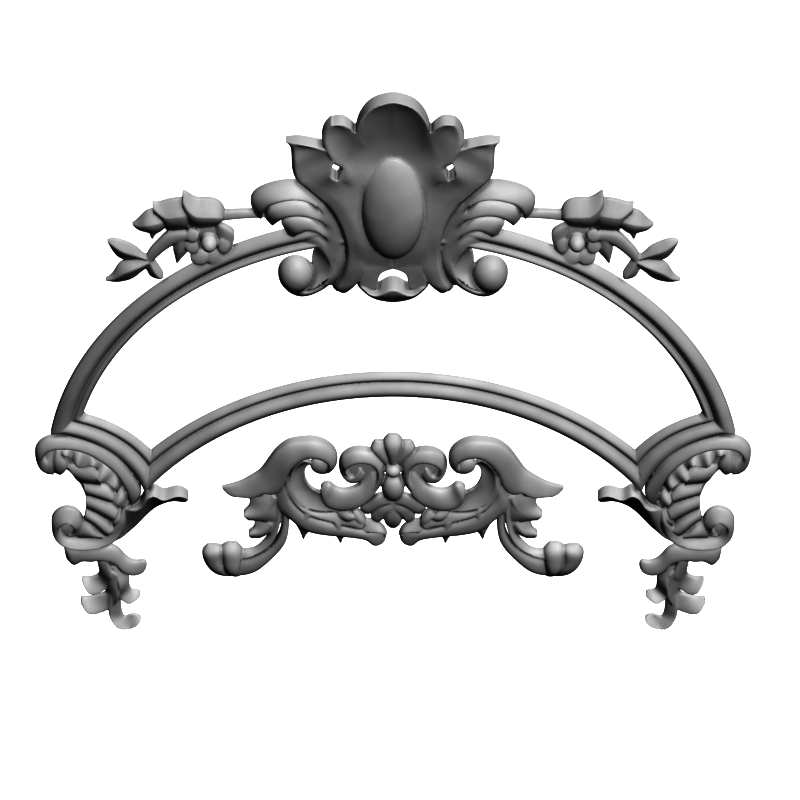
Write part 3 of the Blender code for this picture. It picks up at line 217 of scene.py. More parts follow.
VOLUTE_FLOOR = ((55, 519, 5, 80, 519, 5, 0), (54, 528, 6, 82, 528, 6, 2), (60, 537, 5, 78, 538, 5, 0))
SIDE_LEAF = (
    (188, 499.5, 19, 188.5, 500.5, 17, 0), (184.5, 497.8, 22, 185, 502.6, 14, 0),
    (179, 496.8, 24, 179, 502, 11, 0), (171, 498.8, 26, 170, 502, 8, 0), (163, 500.8, 27, 162, 504.5, 6, 0),
    (157, 497.8, 28, 156, 507.5, 6, 0), (152, 497, 28, 149, 513, 6, 0), (146, 500.5, 28, 142, 520, 6, 0),
    (141, 508, 26, 135, 527, 6, 0), (134, 511, 22, 128, 533, 6, 0), (126, 510, 12, 120.5, 539, 6, 0),
    (120, 514, 6, 112, 543, 5, 0))

# The pendants below the corners
PLATE = (
    (64, 548, 6, 66, 558, 4, 3), (66, 547, 8, 73, 565, 4, 7), (74, 547, 8, 81, 562, 5, 8),
    (86, 547, 9, 90, 562, 6, 8), (98, 547, 9, 98, 561, 7, 8), (110, 546, 7, 108, 562, 7, 8),
    (118, 549, 6, 115, 565, 6, 8), (125, 556, 5, 121, 571, 5, 8), (132, 560.5, 5, 128, 575, 5, 7),
    (139, 561.5, 5, 137, 575.5, 5, 5), (144.5, 561, 5, 143.5, 572.5, 5, 3), (147, 565, 4, 146.5, 567.5, 4, 0))
PENDANT_LOBES = (
    ((97, 561, 12, 108, 561, 13, 3), (98.5, 568, 10, 111, 570, 14, 3), (99, 574, 6, 112, 580, 13, 3),
     (95.5, 576.5, 5, 106, 589.5, 7, 2), (91, 577, 3, 95, 595, 12, 4), (86, 577, 2.5, 87, 592.5, 15, 4),
     (82.5, 577.5, 5, 82, 583, 9, 1)),
    ((107, 566, 11, 117, 576, 13, 3), (107, 584, 8, 119, 588, 12, 4), (106, 591, 4, 118, 600, 12, 3),
     (102, 594.5, 5, 109, 609.5, 7, 2), (94, 596, 3, 96, 614.5, 12, 4), (86.5, 596.5, 2.5, 86.5, 613, 15, 4),
     (81.5, 597.5, 5, 80.7, 604, 9, 1)),
    ((117, 565, 7, 110, 565, 10, 3), (128, 573.5, 3, 117, 578, 13, 4), (129.5, 584, 3, 118.5, 592, 12, 3),
     (132, 589.5, 3, 121.5, 600.5, 8, 2), (135, 590, 2.5, 128, 604.5, 13, 4),
     (139, 590.5, 2.5, 136, 601, 12, 2), (140.5, 593.5, 5, 140.5, 597, 9, 0)),
    ((121.5, 588, 8, 112, 588, 9, 3), (121, 600, 4, 109, 601, 9, 3), (121.5, 609, 3, 108.5, 612, 9, 3),
     (123.5, 615, 3, 111.5, 622, 13, 0), (126, 617, 3, 118, 629.5, 16, -1),
     (130, 615.5, 3, 127, 630.5, 13, -2), (136.5, 614.5, 3, 135, 628, 14, 0),
     (141, 618, 6, 140.7, 623, 11, 0)))
PENDANT_FLOOR = (
    (98, 556, 6, 126, 566, 6, 0), (102, 568, 6, 126, 574, 6, 0), (105, 580, 6, 125, 582, 6, 0),
    (107, 590, 6, 122, 592, 6, 0), (110, 600, 5, 121, 601, 5, 0))

# The centre ornament
BIG_SCROLL = (
    (222, 487, 4, 222.5, 489.5, 4, 0), (230, 485, 4, 230, 496, 7, 3), (241, 481.5, 4, 241, 498, 10, 4),
    (252, 476, 5, 253, 498.5, 12, 5), (261, 470, 6, 264, 494, 13, 6), (267, 463, 8, 271, 495, 12, 7),
    (273.5, 455, 10, 281, 490, 12, 8), (280.5, 448.5, 11, 287, 477, 13, 9), (290, 443.5, 12, 295, 466, 14, 9),
    (301, 441.5, 12, 304, 460, 14, 9), (314, 441, 12, 314, 458.5, 14, 10), (325, 444, 11, 322, 460.5, 13, 10),
    (333.5, 449.5, 9, 327, 463.5, 12, 10), (337.5, 457.5, 6, 328, 467, 11, 10),
    (335, 466.5, 5, 326, 469, 9, 8), (329, 472.5, 4, 324, 470, 7, 5))
CRESCENT = (
    (303, 461, 12, 311, 463, 6, 0), (294, 469, 12, 306, 468.5, 6, -3), (290, 480, 12, 305, 477, 6, -4),
    (292, 492, 12, 308, 484.5, 6, -4), (299, 503, 12, 314, 490, 6, -4), (310, 510, 11, 322, 494, 7, -3),
    (324, 512, 10, 328, 498, 7, -1), (338, 512, 8, 334, 505, 7, 0))
RIM = (
    (292, 472, 6, 284, 479, 6, 2), (291, 483, 9, 285, 489, 8, 4), (295, 496, 9, 291, 500, 8, 4),
    (303, 506, 9, 300, 509.5, 8, 5), (315, 511.5, 8, 313, 517, 8, 5), (330, 512, 6, 330, 522, 8, 5),
    (344, 511.5, 5, 345, 526, 8, 5), (351, 510.5, 5, 354, 527.5, 8, 6), (358.5, 512.5, 5, 360, 529.5, 8, 6),
    (364.5, 516, 4, 363.5, 527, 8, 4), (366, 519, 4, 365.5, 523, 5, 1))
SWEEP = (
    (278, 486, 7, 275, 497, 5, 2), (286, 485, 9, 278, 508, 5, 6), (289, 495, 9, 285, 515.5, 4, 8),
    (297, 506, 9, 294, 522.5, 4, 9), (309, 514, 9, 303, 529.5, 4, 9), (322, 519.5, 9, 316, 533.5, 4, 9),
    (336, 524, 9, 330, 535.5, 4, 8), (350, 527.5, 9, 346, 537, 4, 7), (362, 530, 9, 359, 538.5, 4, 7),
    (371, 532, 8, 368, 541.5, 4, 6), (379, 531, 6, 374.5, 546, 4, 5), (385, 530.5, 5, 382, 544, 4, 3),
    (387, 534, 4, 385.5, 540, 4, 0))
SWEEP_TIP = (
    (362, 520.5, 4, 361, 531, 9, 1), (370, 519.5, 4, 371, 533, 11, 2), (378, 522, 4, 378, 533, 12, 2),
    (384, 527, 4, 383, 534, 11, 2), (387.5, 534, 4, 385, 537, 8, 1))
THORNS = (
    ((288, 514, 10, 313, 522, 10, 3), (296, 525, 8, 311, 530.5, 7, 3), (300.5, 533, 6, 307.5, 533, 5, 3),
     (302.5, 539.5, 4, 304, 539.5, 4, 0)),
    ((324, 522, 10, 350, 529, 9, 3), (332, 531, 8, 347, 535, 6, 3), (337, 537.5, 6, 343.5, 537.5, 5, 3),
     (340, 543.5, 4, 341.5, 543.5, 4, 0)))
TAIL_INNER = (
    (275, 494, 6, 280, 497, 8, 2), (274.5, 508, 6, 281, 511, 8, 3), (273, 521, 5, 280, 524, 8, 4),
    (269, 533, 4, 276, 537, 9, 5), (262, 542.5, 4, 269, 547, 9, 5), (253, 548.5, 4, 258, 554, 9, 5),
    (243, 549.5, 4, 245, 559, 9, 5), (235, 551, 4, 235, 560, 6, 3))
TAIL_OUTER = (
    (277, 496, 7, 284, 504, 5, 4), (281, 508, 7, 288.5, 515, 5, 5), (282, 521, 7, 289, 527, 4, 6),
    (279, 534, 7, 286, 541, 4, 7), (271.5, 545, 7, 278, 552.5, 4, 7), (260, 553, 7, 266, 564, 4, 8),
    (248, 558, 7, 252, 573, 4, 8), (235, 559.5, 7, 235, 576, 4, 6))
TAIL_BULBS = (
    ((228, 542.5, 4, 236, 542.5, 4, 1), (222, 546, 4, 241, 547, 4, 11), (220.5, 555, 4, 242.5, 556, 5, 15),
     (222, 564, 4, 241, 565, 6, 15), (228, 572, 4, 240, 573, 5, 9), (235, 576, 4, 240, 576, 4, 1)),
    ((208, 544.5, 4, 216, 544.5, 4, 1), (203.5, 549, 4, 222, 547, 5, 10), (202.5, 556, 4, 223, 556, 6, 12),
     (207, 565, 4, 226, 566, 6, 11), (216, 572.5, 4, 230, 573.5, 5, 6), (225, 576, 4, 234, 576, 4, 1)))
TAIL_LEAVES = (
    ((249, 492, 5, 283, 493, 5, 2), (249.5, 500, 5, 279, 499, 7, 4), (249, 507, 6, 278, 508, 8, 5),
     (245, 512.5, 9, 277, 515, 9, 4), (243.5, 516.5, 12, 276, 519, 9, 2), (249, 520.5, 9, 274, 522, 8, 1)),
    ((254, 516, 3.5, 279, 513, 4, 0), (254.5, 524, 5, 277, 521, 7, 4), (253, 530, 8, 274, 529, 8, 4),
     (248.5, 535, 11, 268, 534.5, 9, 2), (251, 538.5, 8, 260, 538.5, 7, 0)))
INNER_SCROLL = (
    (373, 495, 7, 371, 490, 11, 4), (380, 486, 6, 376, 482, 12, 5), (384.5, 473, 5, 377, 473, 12, 7),
    (384, 462, 7, 374, 467.5, 13, 7), (378, 455.5, 9, 369, 464.5, 14, 7), (368, 451.5, 11, 362, 463.5, 15, 7),
    (357, 450.5, 11, 355, 464.5, 15, 7), (348.5, 452.5, 10, 349, 467.5, 13, 7),
    (342, 456.5, 8, 346, 470.5, 11, 7),
    (339, 463, 5, 347, 473, 9, 7), (340, 472, 6, 349, 475, 8, 5), (345, 480, 8, 352, 476, 7, 4),
    (352, 483.5, 4, 355, 475, 8, 4), (359, 482, 4, 357, 472, 8, 4), (365, 475, 4, 360, 469, 8, 2))
EYE_FLOOR = (
    (346, 464, 5, 347, 482, 5, 0), (356, 462, 5, 357, 483, 5, 0), (366, 461, 6, 366, 482, 6, 0),
    (378, 470, 7, 377, 484, 7, 0))
TRAY = (
    (320.5, 489, 7, 323, 484.5, 6, 2), (321.5, 498, 8, 329, 484.5, 9, 6), (326, 506, 7, 335, 487.5, 6, 7),
    (335, 510, 7, 344, 490, 6, 8), (348, 510.5, 7, 354, 488, 7, 8), (360, 507, 7, 361, 483.5, 6, 7),
    (370, 500, 8, 367, 476, 5, 6), (377, 490, 9, 372, 471, 6, 4), (379, 480, 10, 375, 470, 6, 1))
FAN_MIDDLE = (
    (389, 434.5, 4, 397, 434.5, 4, 1), (384, 439.5, 4, 402, 439.5, 4, 11), (384, 446, 5, 402, 446, 5, 13),
    (387, 455, 6, 399, 455, 6, 11), (390, 466, 7, 396, 466, 7, 6))
FAN_SIDE = (
    (375, 440.5, 4, 382, 440.5, 4, 2), (371, 447, 4, 384.5, 444, 5, 8), (374, 453, 5, 387, 450, 6, 9),
    (380, 460, 6, 390, 457, 7, 7), (386, 467, 7, 392, 464, 8, 3))
TONGUE_MIDDLE = (
    (390, 498, 7, 396, 498, 7, 2), (386, 508, 6, 400, 508, 6, 4), (384, 517, 5, 402, 517, 5, 6),
    (386.5, 525, 4, 399.5, 525, 4, 3), (391, 528.5, 4, 395, 528.5, 4, 0))
TONGUES = (
    ((391, 502, 8, 392.5, 510, 8, 2), (381, 504.5, 7, 388, 513, 7, 4), (372, 511, 5, 383, 519, 5, 4),
     (371, 517, 4, 380, 521.5, 4, 3), (373, 521, 4, 377, 522.5, 4, 0)),
    ((389, 494, 8, 391, 504, 8, 2), (377, 496, 7, 383, 506, 7, 4), (366, 502, 5, 374.5, 511, 5, 4),
     (360, 507, 4, 370, 513.5, 4, 3), (363, 513.3, 4, 368, 514.5, 4, 0)))
LEAF_FOLDS = (
    ((263, 474, 10, 270, 471, 10, 2), (259, 485, 12, 268, 484, 12, 4), (255, 496, 12, 264, 494.5, 12, 4)),
    ((279, 461, 13, 286, 458, 13, 2), (272, 478, 13, 281, 476, 13, 4), (268, 493, 12, 276, 492.5, 12, 4)),
    ((245, 517, 10, 248, 521, 10, 0), (256, 513, 10, 260, 519, 10, 3), (266, 505, 9, 271, 511, 9, 3),
     (272, 495, 8, 278, 499, 8, 2)),
    ((249, 535, 10, 252, 539, 9, 0), (259, 530, 10, 264, 535.5, 10, 3), (268, 521, 9, 273, 526, 9, 2)),
    ((337, 512.5, 8, 343.5, 522, 9, 2), (342, 510.5, 9, 350, 521.5, 12, 4),
     (347, 510, 9, 356, 519, 11, 3)),
    ((352, 511, 8, 356, 523, 9, 3), (358, 511.5, 8, 363, 527, 10, 4), (364, 515, 6, 366, 524, 8, 2)),
    ((304, 508, 11, 312, 513, 11, 2), (302, 519, 11, 310, 523, 10, 4), (300, 531, 8, 308, 531.5, 7, 3)),
    ((332, 520.5, 11, 342, 524, 11, 2), (335, 530, 9, 344, 531, 9, 4), (339, 538, 6, 343.5, 538, 6, 2)))


class Profile(Enum):
    """How a stroke's surface runs from its first edge to its second."""

    ROLL = "full, with quick shoulders"
    DISH = "an even arch, or a hollow where the swell is below nought"
    LOBE = "an arch whose first edge is a thin rim"
    BANK = "an arch that climbs from a low first edge"
    RIDGE = "two straight slopes"
    FOLD = "a straight slope that turns over"
    BOWL = "a slope that levels out at the second edge"
    RAIL = "the rails' own moulding"


@dataclass(frozen=True)
class ThinRim:
    """How much a member's first edge is cut down, all of it where the member is wide. Sizes in mm."""

    depth: float
    full_width: float
    reach: float
    power: float

    def cut(self, rows: np.ndarray, s: np.ndarray) -> np.ndarray:
        """Depth taken off across a stroke.

        Args:
            rows: cross-sections.
            s: places across the stroke, 0 to 1.

        Returns:
            Depths in mm, one row for each cross-section.
        """
        wide = np.hypot(rows[:, 3:4] - rows[:, 0:1], rows[:, 4:5] - rows[:, 1:2])
        share = np.clip(wide / self.full_width, 0.0, 1.0)
        return self.depth * share * np.maximum(0.0, 1 - s * wide / self.reach) ** self.power


LOBE_RIM = ThinRim(depth=9.0, full_width=30.0, reach=8.0, power=2)
BANK_RIM = ThinRim(depth=11.0, full_width=14.0, reach=9.0, power=1.4)
ROLL_SHOULDER, ROLL_ROUNDNESS = 2.4, 1 / 1.8
RIDGE_AT = 0.4                # share of the width where a ridge is highest
FOLD_AT, FOLD_TURN = 0.36, 2.2


@dataclass(frozen=True)
class RailMoulding:
    """Section of the rails: a bead beside the opening, a groove and a broad roll. Sizes in mm."""

    width: float = 38.0
    corner_width: float = 39.5
    bead_share: float = 0.36
    groove: float = 7.6
    bead_crest: float = 12.6
    roll_crest: float = 14.6
    fullness: float = 1.8
    lean: float = 4.6
    upright_depth: float = 2.0

    def height(self, s: np.ndarray, down: np.ndarray) -> np.ndarray:
        """Height across the rail.

        Args:
            s: places across the rail, 0 at the opening and 1 at the outside.
            down: how far each cross-section runs downwards, -1 to 1.

        Returns:
            Heights in mm.
        """
        bead = np.minimum(np.abs(2 * s / self.bead_share - 1), 1.0)
        broad = np.minimum(np.abs(2 * (s - self.bead_share) / (1 - self.bead_share) - 1), 1.0)
        groove = self.groove - self.upright_depth * (1 - down ** 2)
        on_bead = (self.bead_crest - groove) * (1 - bead ** self.fullness)[None, :]
        on_roll = (self.roll_crest - groove) * (1 - broad ** self.fullness)[None, :]
        level = groove + np.where(s[None, :] < self.bead_share, on_bead, on_roll)
        return level + self.lean * down * (2 * s - 1)[None, :]


def face_point(column: float, row: float, height: float) -> tuple[float, float]:
    """Place on the face plane of a drawing grid point that lies at a height.

    Args:
        column: grid column.
        row: grid row.
        height: mm in front of the back.

    Returns:
        x and z in mm.
    """
    x = (column - MIDDLE) * UNIT
    z = ((LEVEL - row) * UNIT + height * math.sin(TILT)) / math.cos(TILT)
    return x, z


def natural_spline(values: np.ndarray, knots: np.ndarray, at: np.ndarray) -> np.ndarray:
    """Natural cubic through rows of values.

    Args:
        values: one row for each knot.
        knots: rising places of the rows.
        at: places to read.

    Returns:
        One row for each place.
    """
    count = len(knots)
    gaps = np.diff(knots)
    system = np.eye(count)
    right = np.zeros_like(values)
    for i in range(1, count - 1):
        system[i, i - 1:i + 2] = gaps[i - 1], 2 * (gaps[i - 1] + gaps[i]), gaps[i]
        right[i] = 6 * ((values[i + 1] - values[i]) / gaps[i] - (values[i] - values[i - 1]) / gaps[i - 1])
    bend = np.linalg.solve(system, right)
    i = np.clip(np.searchsorted(knots, at, side="right") - 1, 0, count - 2)
    width = gaps[i][:, None]
    before = (at - knots[i])[:, None]
    after = width - before
    curve = (bend[i] * after ** 3 + bend[i + 1] * before ** 3) / (6 * width)
    return (curve + (values[i] / width - bend[i] * width / 6) * after
            + (values[i + 1] / width - bend[i + 1] * width / 6) * before)


def sections_along(stations: Stations, step: float) -> np.ndarray:
    """Cross-sections of a stroke, evenly spaced.

    Args:
        stations: the stroke's stations.
        step: spacing in mm.

    Returns:
        Rows of ax, az, ah, bx, bz, bh and swell, in mm.
    """
    values = np.array([
        (*face_point(ax, ay, ah), ah, *face_point(bx, by, bh), bh, swell)
        for ax, ay, ah, bx, by, bh, swell in stations], dtype=float)
    run_a = np.linalg.norm(np.diff(values[:, 0:2], axis=0), axis=1)
    run_b = np.linalg.norm(np.diff(values[:, 3:5], axis=0), axis=1)
    knots = np.concatenate([[0.0], np.cumsum((run_a + run_b) / 2)])
    count = max(6, round(knots[-1] / step)) + 1
    rows = natural_spline(values, knots, np.linspace(0.0, knots[-1], count))
    rows[:, 2] = np.maximum(rows[:, 2], THINNEST)
    rows[:, 5] = np.maximum(rows[:, 5], THINNEST)
    return rows


def surface_heights(rows: np.ndarray, s: np.ndarray, profile: Profile) -> np.ndarray:
    """Heights of a stroke's surface.

    Args:
        rows: cross-sections.
        s: places across the stroke, 0 to 1.
        profile: how the surface runs.

    Returns:
        Heights in mm, one row for each cross-section.
    """
    first, second, swell = rows[:, 2:3], rows[:, 5:6], rows[:, 6:7]
    level = first * (1 - s) + second * s
    if profile is Profile.ROLL:
        return level + swell * np.maximum(0, 1 - np.abs(2 * s - 1) ** ROLL_SHOULDER) ** ROLL_ROUNDNESS
    arch = swell * (1 - (2 * s - 1) ** 2)
    if profile is Profile.DISH:
        return level + arch
    if profile is Profile.LOBE:
        return level + arch - LOBE_RIM.cut(rows, s)
    if profile is Profile.BANK:
        return level + arch - BANK_RIM.cut(rows, s)
    if profile is Profile.RIDGE:
        return level + swell * np.where(s < RIDGE_AT, s / RIDGE_AT, (1 - s) / (1 - RIDGE_AT))
    if profile is Profile.FOLD:
        turned = 1 - (np.maximum(s - FOLD_AT, 0) / (1 - FOLD_AT)) ** FOLD_TURN
        return level + swell * np.where(s < FOLD_AT, s / FOLD_AT, turned)
    if profile is Profile.BOWL:
        return first + (second - first) * (1 - (1 - s) ** 2)
    run = rows[:, 1:2] - rows[:, 4:5]
    return RailMoulding().height(s, run / np.hypot(rows[:, 3:4] - rows[:, 0:1], run))


def only(item: bpy.types.Object) -> None:
    """Select one object and make it active.

    Args:
        item: the object.
    """
    bpy.ops.object.select_all(action="DESELECT")
    item.select_set(True)
    bpy.context.view_layer.objects.active = item


def strip_solid(name: str, rows: np.ndarray, profile: Profile, across: int, deep: float) -> bpy.types.Object:
    """Solid of a stroke: a grid is shaped to the carved surface and extruded to a flat underside.

    Args:
        name: the object's name.
        rows: cross-sections.
        profile: how the surface runs across.
        across: facets across.
        deep: mm behind the back plane.

    Returns:
        The new object.
    """
    s = 0.5 * (1 - np.cos(np.pi * np.arange(across + 1) / across))
    if profile is Profile.RAIL:
        share = RailMoulding().bead_share
        ease = 0.5 * (1 - np.cos(2 * np.pi * np.arange(across // 2 + 1) / across))
        s = np.concatenate([share * ease, share + (1 - share) * ease[1:]])
    heights = np.maximum(surface_heights(rows, s, profile), THINNEST)
    x = rows[:, 0:1] * (1 - s) + rows[:, 3:4] * s
    z = rows[:, 1:2] * (1 - s) + rows[:, 4:5] * s
    bpy.ops.object.select_all(action="DESELECT")
    bpy.ops.mesh.primitive_grid_add(x_subdivisions=across, y_subdivisions=len(rows) - 1, size=1.0)
    item = bpy.context.object
    item.name = item.data.name = name
    places = np.stack([x, -heights, z], axis=2) * MM
    item.data.vertices.foreach_set("co", places.ravel())
    item.location = (0.0, 0.0, 0.0)
    bpy.ops.object.mode_set(mode="EDIT")
    bpy.ops.mesh.select_all(action="SELECT")
    bpy.ops.mesh.extrude_region_move(TRANSFORM_OT_translate={"value": DRAW_OUT})
    bpy.ops.transform.resize(value=(1.0, 0.0, 1.0), center_override=(0.0, deep * MM, 0.0))
    bpy.ops.mesh.select_all(action="SELECT")
    bpy.ops.mesh.remove_doubles(threshold=WELD)
    bpy.ops.mesh.normals_make_consistent(inside=False)
    bpy.ops.object.mode_set(mode="OBJECT")
    return item


def leaning(stations: Stations, share: float) -> Stations:
    """Tip a member so that its lower edge stands higher, its crest staying as high.

    Args:
        stations: the member's stations.
        share: part of the swell that moves to the lower edge.

    Returns:
        The tipped stations.
    """
    tipped = []
    for ax, ay, ah, bx, by, bh, swell in stations:
        down = (by - ay) / max(math.hypot(bx - ax, by - ay), 0.001)
        lift = share * swell * down
        rest = swell - CREST_KEPT * abs(lift)
        tipped.append((ax, ay, ah + max(0.0, -lift), bx, by, bh + max(0.0, lift), rest))
    return tuple(tipped)


@dataclass(frozen=True)
class Stroke:
    """One carved strip."""

    stations: Stations
    profile: Profile = Profile.ROLL
    across: int = 12
    step: float = 4.0
    lean: float = 0.0

    def build(self, name: str, deep: float) -> bpy.types.Object:
        """Make the strip's solid.

        Args:
            name: the object's name.
            deep: mm behind the back plane.

        Returns:
            The new object.
        """
        rows = sections_along(leaning(self.stations, self.lean), self.step)
        return strip_solid(name, rows, self.profile, self.across, deep)


@dataclass(frozen=True)
class Boss:
    """An oval dome on an upright drum, softened towards its top and leaning if wanted. Sizes in mm."""

    column: float
    row: float
    at: float
    half_width: float
    half_height: float
    base: float
    rise: float
    sectors: int = 64
    rings: int = 14
    fullness: float = 0.5
    soften: float = 0.0
    lean: float = 0.0

    def build(self, name: str, deep: float) -> bpy.types.Object:
        """Halve a globe, stretch it to the dome and extrude its rim behind the back.

        Args:
            name: the object's name.
            deep: mm behind the back plane.

        Returns:
            The new object.
        """
        x, z = face_point(self.column, self.row, self.at)
        bpy.ops.object.select_all(action="DESELECT")
        bpy.ops.mesh.primitive_uv_sphere_add(
            segments=self.sectors, ring_count=2 * self.rings, radius=1.0, rotation=(math.pi / 2, 0.0, 0.0))
        item = bpy.context.object
        item.name = item.data.name = name
        bpy.ops.object.transform_apply(location=True, rotation=True, scale=True)
        bpy.ops.object.mode_set(mode="EDIT")
        bpy.ops.mesh.select_all(action="SELECT")
        bpy.ops.mesh.bisect(plane_co=(0.0, -GLOBE_CUT, 0.0), plane_no=(0.0, 1.0, 0.0), clear_outer=True)
        bpy.ops.object.mode_set(mode="OBJECT")
        for vertex in item.data.vertices:
            power = 2 * self.fullness + 2 * self.soften * max(0.0, vertex.co.z)
            tipped = self.lean / self.rise * vertex.co.z
            vertex.co.y = -max(-vertex.co.y, 0.0) ** power + tipped
        bpy.ops.object.mode_set(mode="EDIT")
        bpy.ops.mesh.select_all(action="SELECT")
        size = (self.half_width * MM, self.rise * MM, self.half_height * MM)
        bpy.ops.transform.resize(value=size, center_override=(0.0, 0.0, 0.0))
        bpy.ops.transform.translate(value=(x * MM, -self.base * MM, z * MM))
        bpy.ops.mesh.select_mode(type="EDGE")
        bpy.ops.mesh.select_all(action="DESELECT")
        bpy.ops.mesh.select_non_manifold()
        bpy.ops.mesh.extrude_region_move(TRANSFORM_OT_translate={"value": DRAW_OUT})
        bpy.ops.transform.resize(value=(1.0, 0.0, 1.0), center_override=(0.0, deep * MM, 0.0))
        bpy.ops.mesh.edge_face_add()
        bpy.ops.mesh.select_mode(type="VERT")
        bpy.ops.mesh.select_all(action="SELECT")
        bpy.ops.mesh.normals_make_consistent(inside=False)
        bpy.ops.object.mode_set(mode="OBJECT")
        return item


@dataclass(frozen=True)
class PrimedWood:
    """Carved wood under a satin grey primer, patchy by a shade, brushed, and with painted shade darkening its
    recesses.

    The reach of the painted shade in a recess and the depth of the brush marks are in metres.
    """

    light: tuple[float, float, float] = (0.47, 0.47, 0.47)
    dark: tuple[float, float, float] = (0.40, 0.40, 0.40)
    # Painted shade in recesses: the darkest colour factor, the occlusion reach, and the occlusion values
    # mapped onto it.
    painted_shade_darkest: float = 0.12
    painted_shade_reach: float = 0.009
    painted_shade_span: tuple[float, float] = (0.30, 0.85)
    patch_scale: float = 18.0
    brush_scale: float = 90.0
    brush_depth: float = 0.0006
    roughness: float = 0.55

    def material(self) -> bpy.types.Material:
        """Node material of the finish.

        Returns:
            The material.
        """
        material = bpy.data.materials.new("primed_wood")
        material.use_nodes = True
        nodes, links = material.node_tree.nodes, material.node_tree.links
        shader = nodes["Principled BSDF"]
        shader.inputs["Metallic"].default_value = 0.0
        shader.inputs["Specular IOR Level"].default_value = 0.25
        place = nodes.new("ShaderNodeTexCoord")
        cloud = nodes.new("ShaderNodeTexNoise")
        cloud.inputs["Scale"].default_value = self.patch_scale
        cloud.inputs["Detail"].default_value = 4.0
        links.new(place.outputs["Object"], cloud.inputs["Vector"])
        tone = nodes.new("ShaderNodeValToRGB")
        tone.color_ramp.elements[0].position = 0.3
        tone.color_ramp.elements[0].color = (*self.dark, 1.0)
        tone.color_ramp.elements[1].position = 0.7
        tone.color_ramp.elements[1].color = (*self.light, 1.0)
        links.new(cloud.outputs["Fac"], tone.inputs["Fac"])
        # Painted shade: ambient occlusion darkens the base colour in recesses and creases.
        painted_shade_occlusion = nodes.new("ShaderNodeAmbientOcclusion")
        painted_shade_occlusion.inputs["Distance"].default_value = self.painted_shade_reach
        painted_shade_occlusion.samples = 3
        painted_shade_level = nodes.new("ShaderNodeMapRange")
        painted_shade_level.inputs["From Min"].default_value = self.painted_shade_span[0]
        painted_shade_level.inputs["From Max"].default_value = self.painted_shade_span[1]
        painted_shade_level.inputs["To Min"].default_value = self.painted_shade_darkest
        painted_shade_level.inputs["To Max"].default_value = 1.0
        links.new(painted_shade_occlusion.outputs["AO"], painted_shade_level.inputs["Value"])
        shade = nodes.new("ShaderNodeVectorMath")
        shade.operation = "SCALE"
        links.new(tone.outputs["Color"], shade.inputs[0])
        links.new(painted_shade_level.outputs["Result"], shade.inputs["Scale"])
        links.new(shade.outputs["Vector"], shader.inputs["Base Color"])
        brushed = nodes.new("ShaderNodeTexNoise")
        brushed.inputs["Scale"].default_value = self.brush_scale
        brushed.inputs["Detail"].default_value = 3.0
        links.new(place.outputs["Object"], brushed.inputs["Vector"])
        gloss = nodes.new("ShaderNodeMapRange")
        gloss.inputs["To Min"].default_value = self.roughness - 0.06
        gloss.inputs["To Max"].default_value = self.roughness + 0.08
        links.new(brushed.outputs["Fac"], gloss.inputs["Value"])
        links.new(gloss.outputs["Result"], shader.inputs["Roughness"])
        bump = nodes.new("ShaderNodeBump")
        bump.inputs["Strength"].default_value = 0.12
        bump.inputs["Distance"].default_value = self.brush_depth
        links.new(brushed.outputs["Fac"], bump.inputs["Height"])
        links.new(bump.outputs["Normal"], shader.inputs["Normal"])
        return material


@dataclass(frozen=True)
class Blend:
    """A place where the carver runs neighbouring members into one another.

    The path is in grid points. Heights are evened out within the radius, in mm, round it.
    """

    path: tuple[tuple[float, float], ...]
    radius: float = 14.0
    rounds: int = 30

    def weights(self, places: np.ndarray) -> np.ndarray:
        """How strongly each vertex is evened out.

        Args:
            places: vertex places in mm.

        Returns:
            Weights from 0 to 1.
        """
        column = places[:, 0] / UNIT + MIDDLE
        row = LEVEL - (places[:, 2] * math.cos(TILT) + places[:, 1] * math.sin(TILT)) / UNIT
        spots = np.stack([column, row], axis=1)
        nearest = np.full(len(places), np.inf)
        knots = [np.array(point, dtype=float) for point in self.path]
        for start, end in zip(knots, knots[1:] or knots):
            run = end - start
            share = np.clip((spots - start) @ run / max(run @ run, 1e-9), 0.0, 1.0)
            nearest = np.minimum(nearest, np.linalg.norm(spots - start - share[:, None] * run, axis=1))
        return np.clip(1.5 - 1.5 * nearest * UNIT / self.radius, 0.0, 1.0)


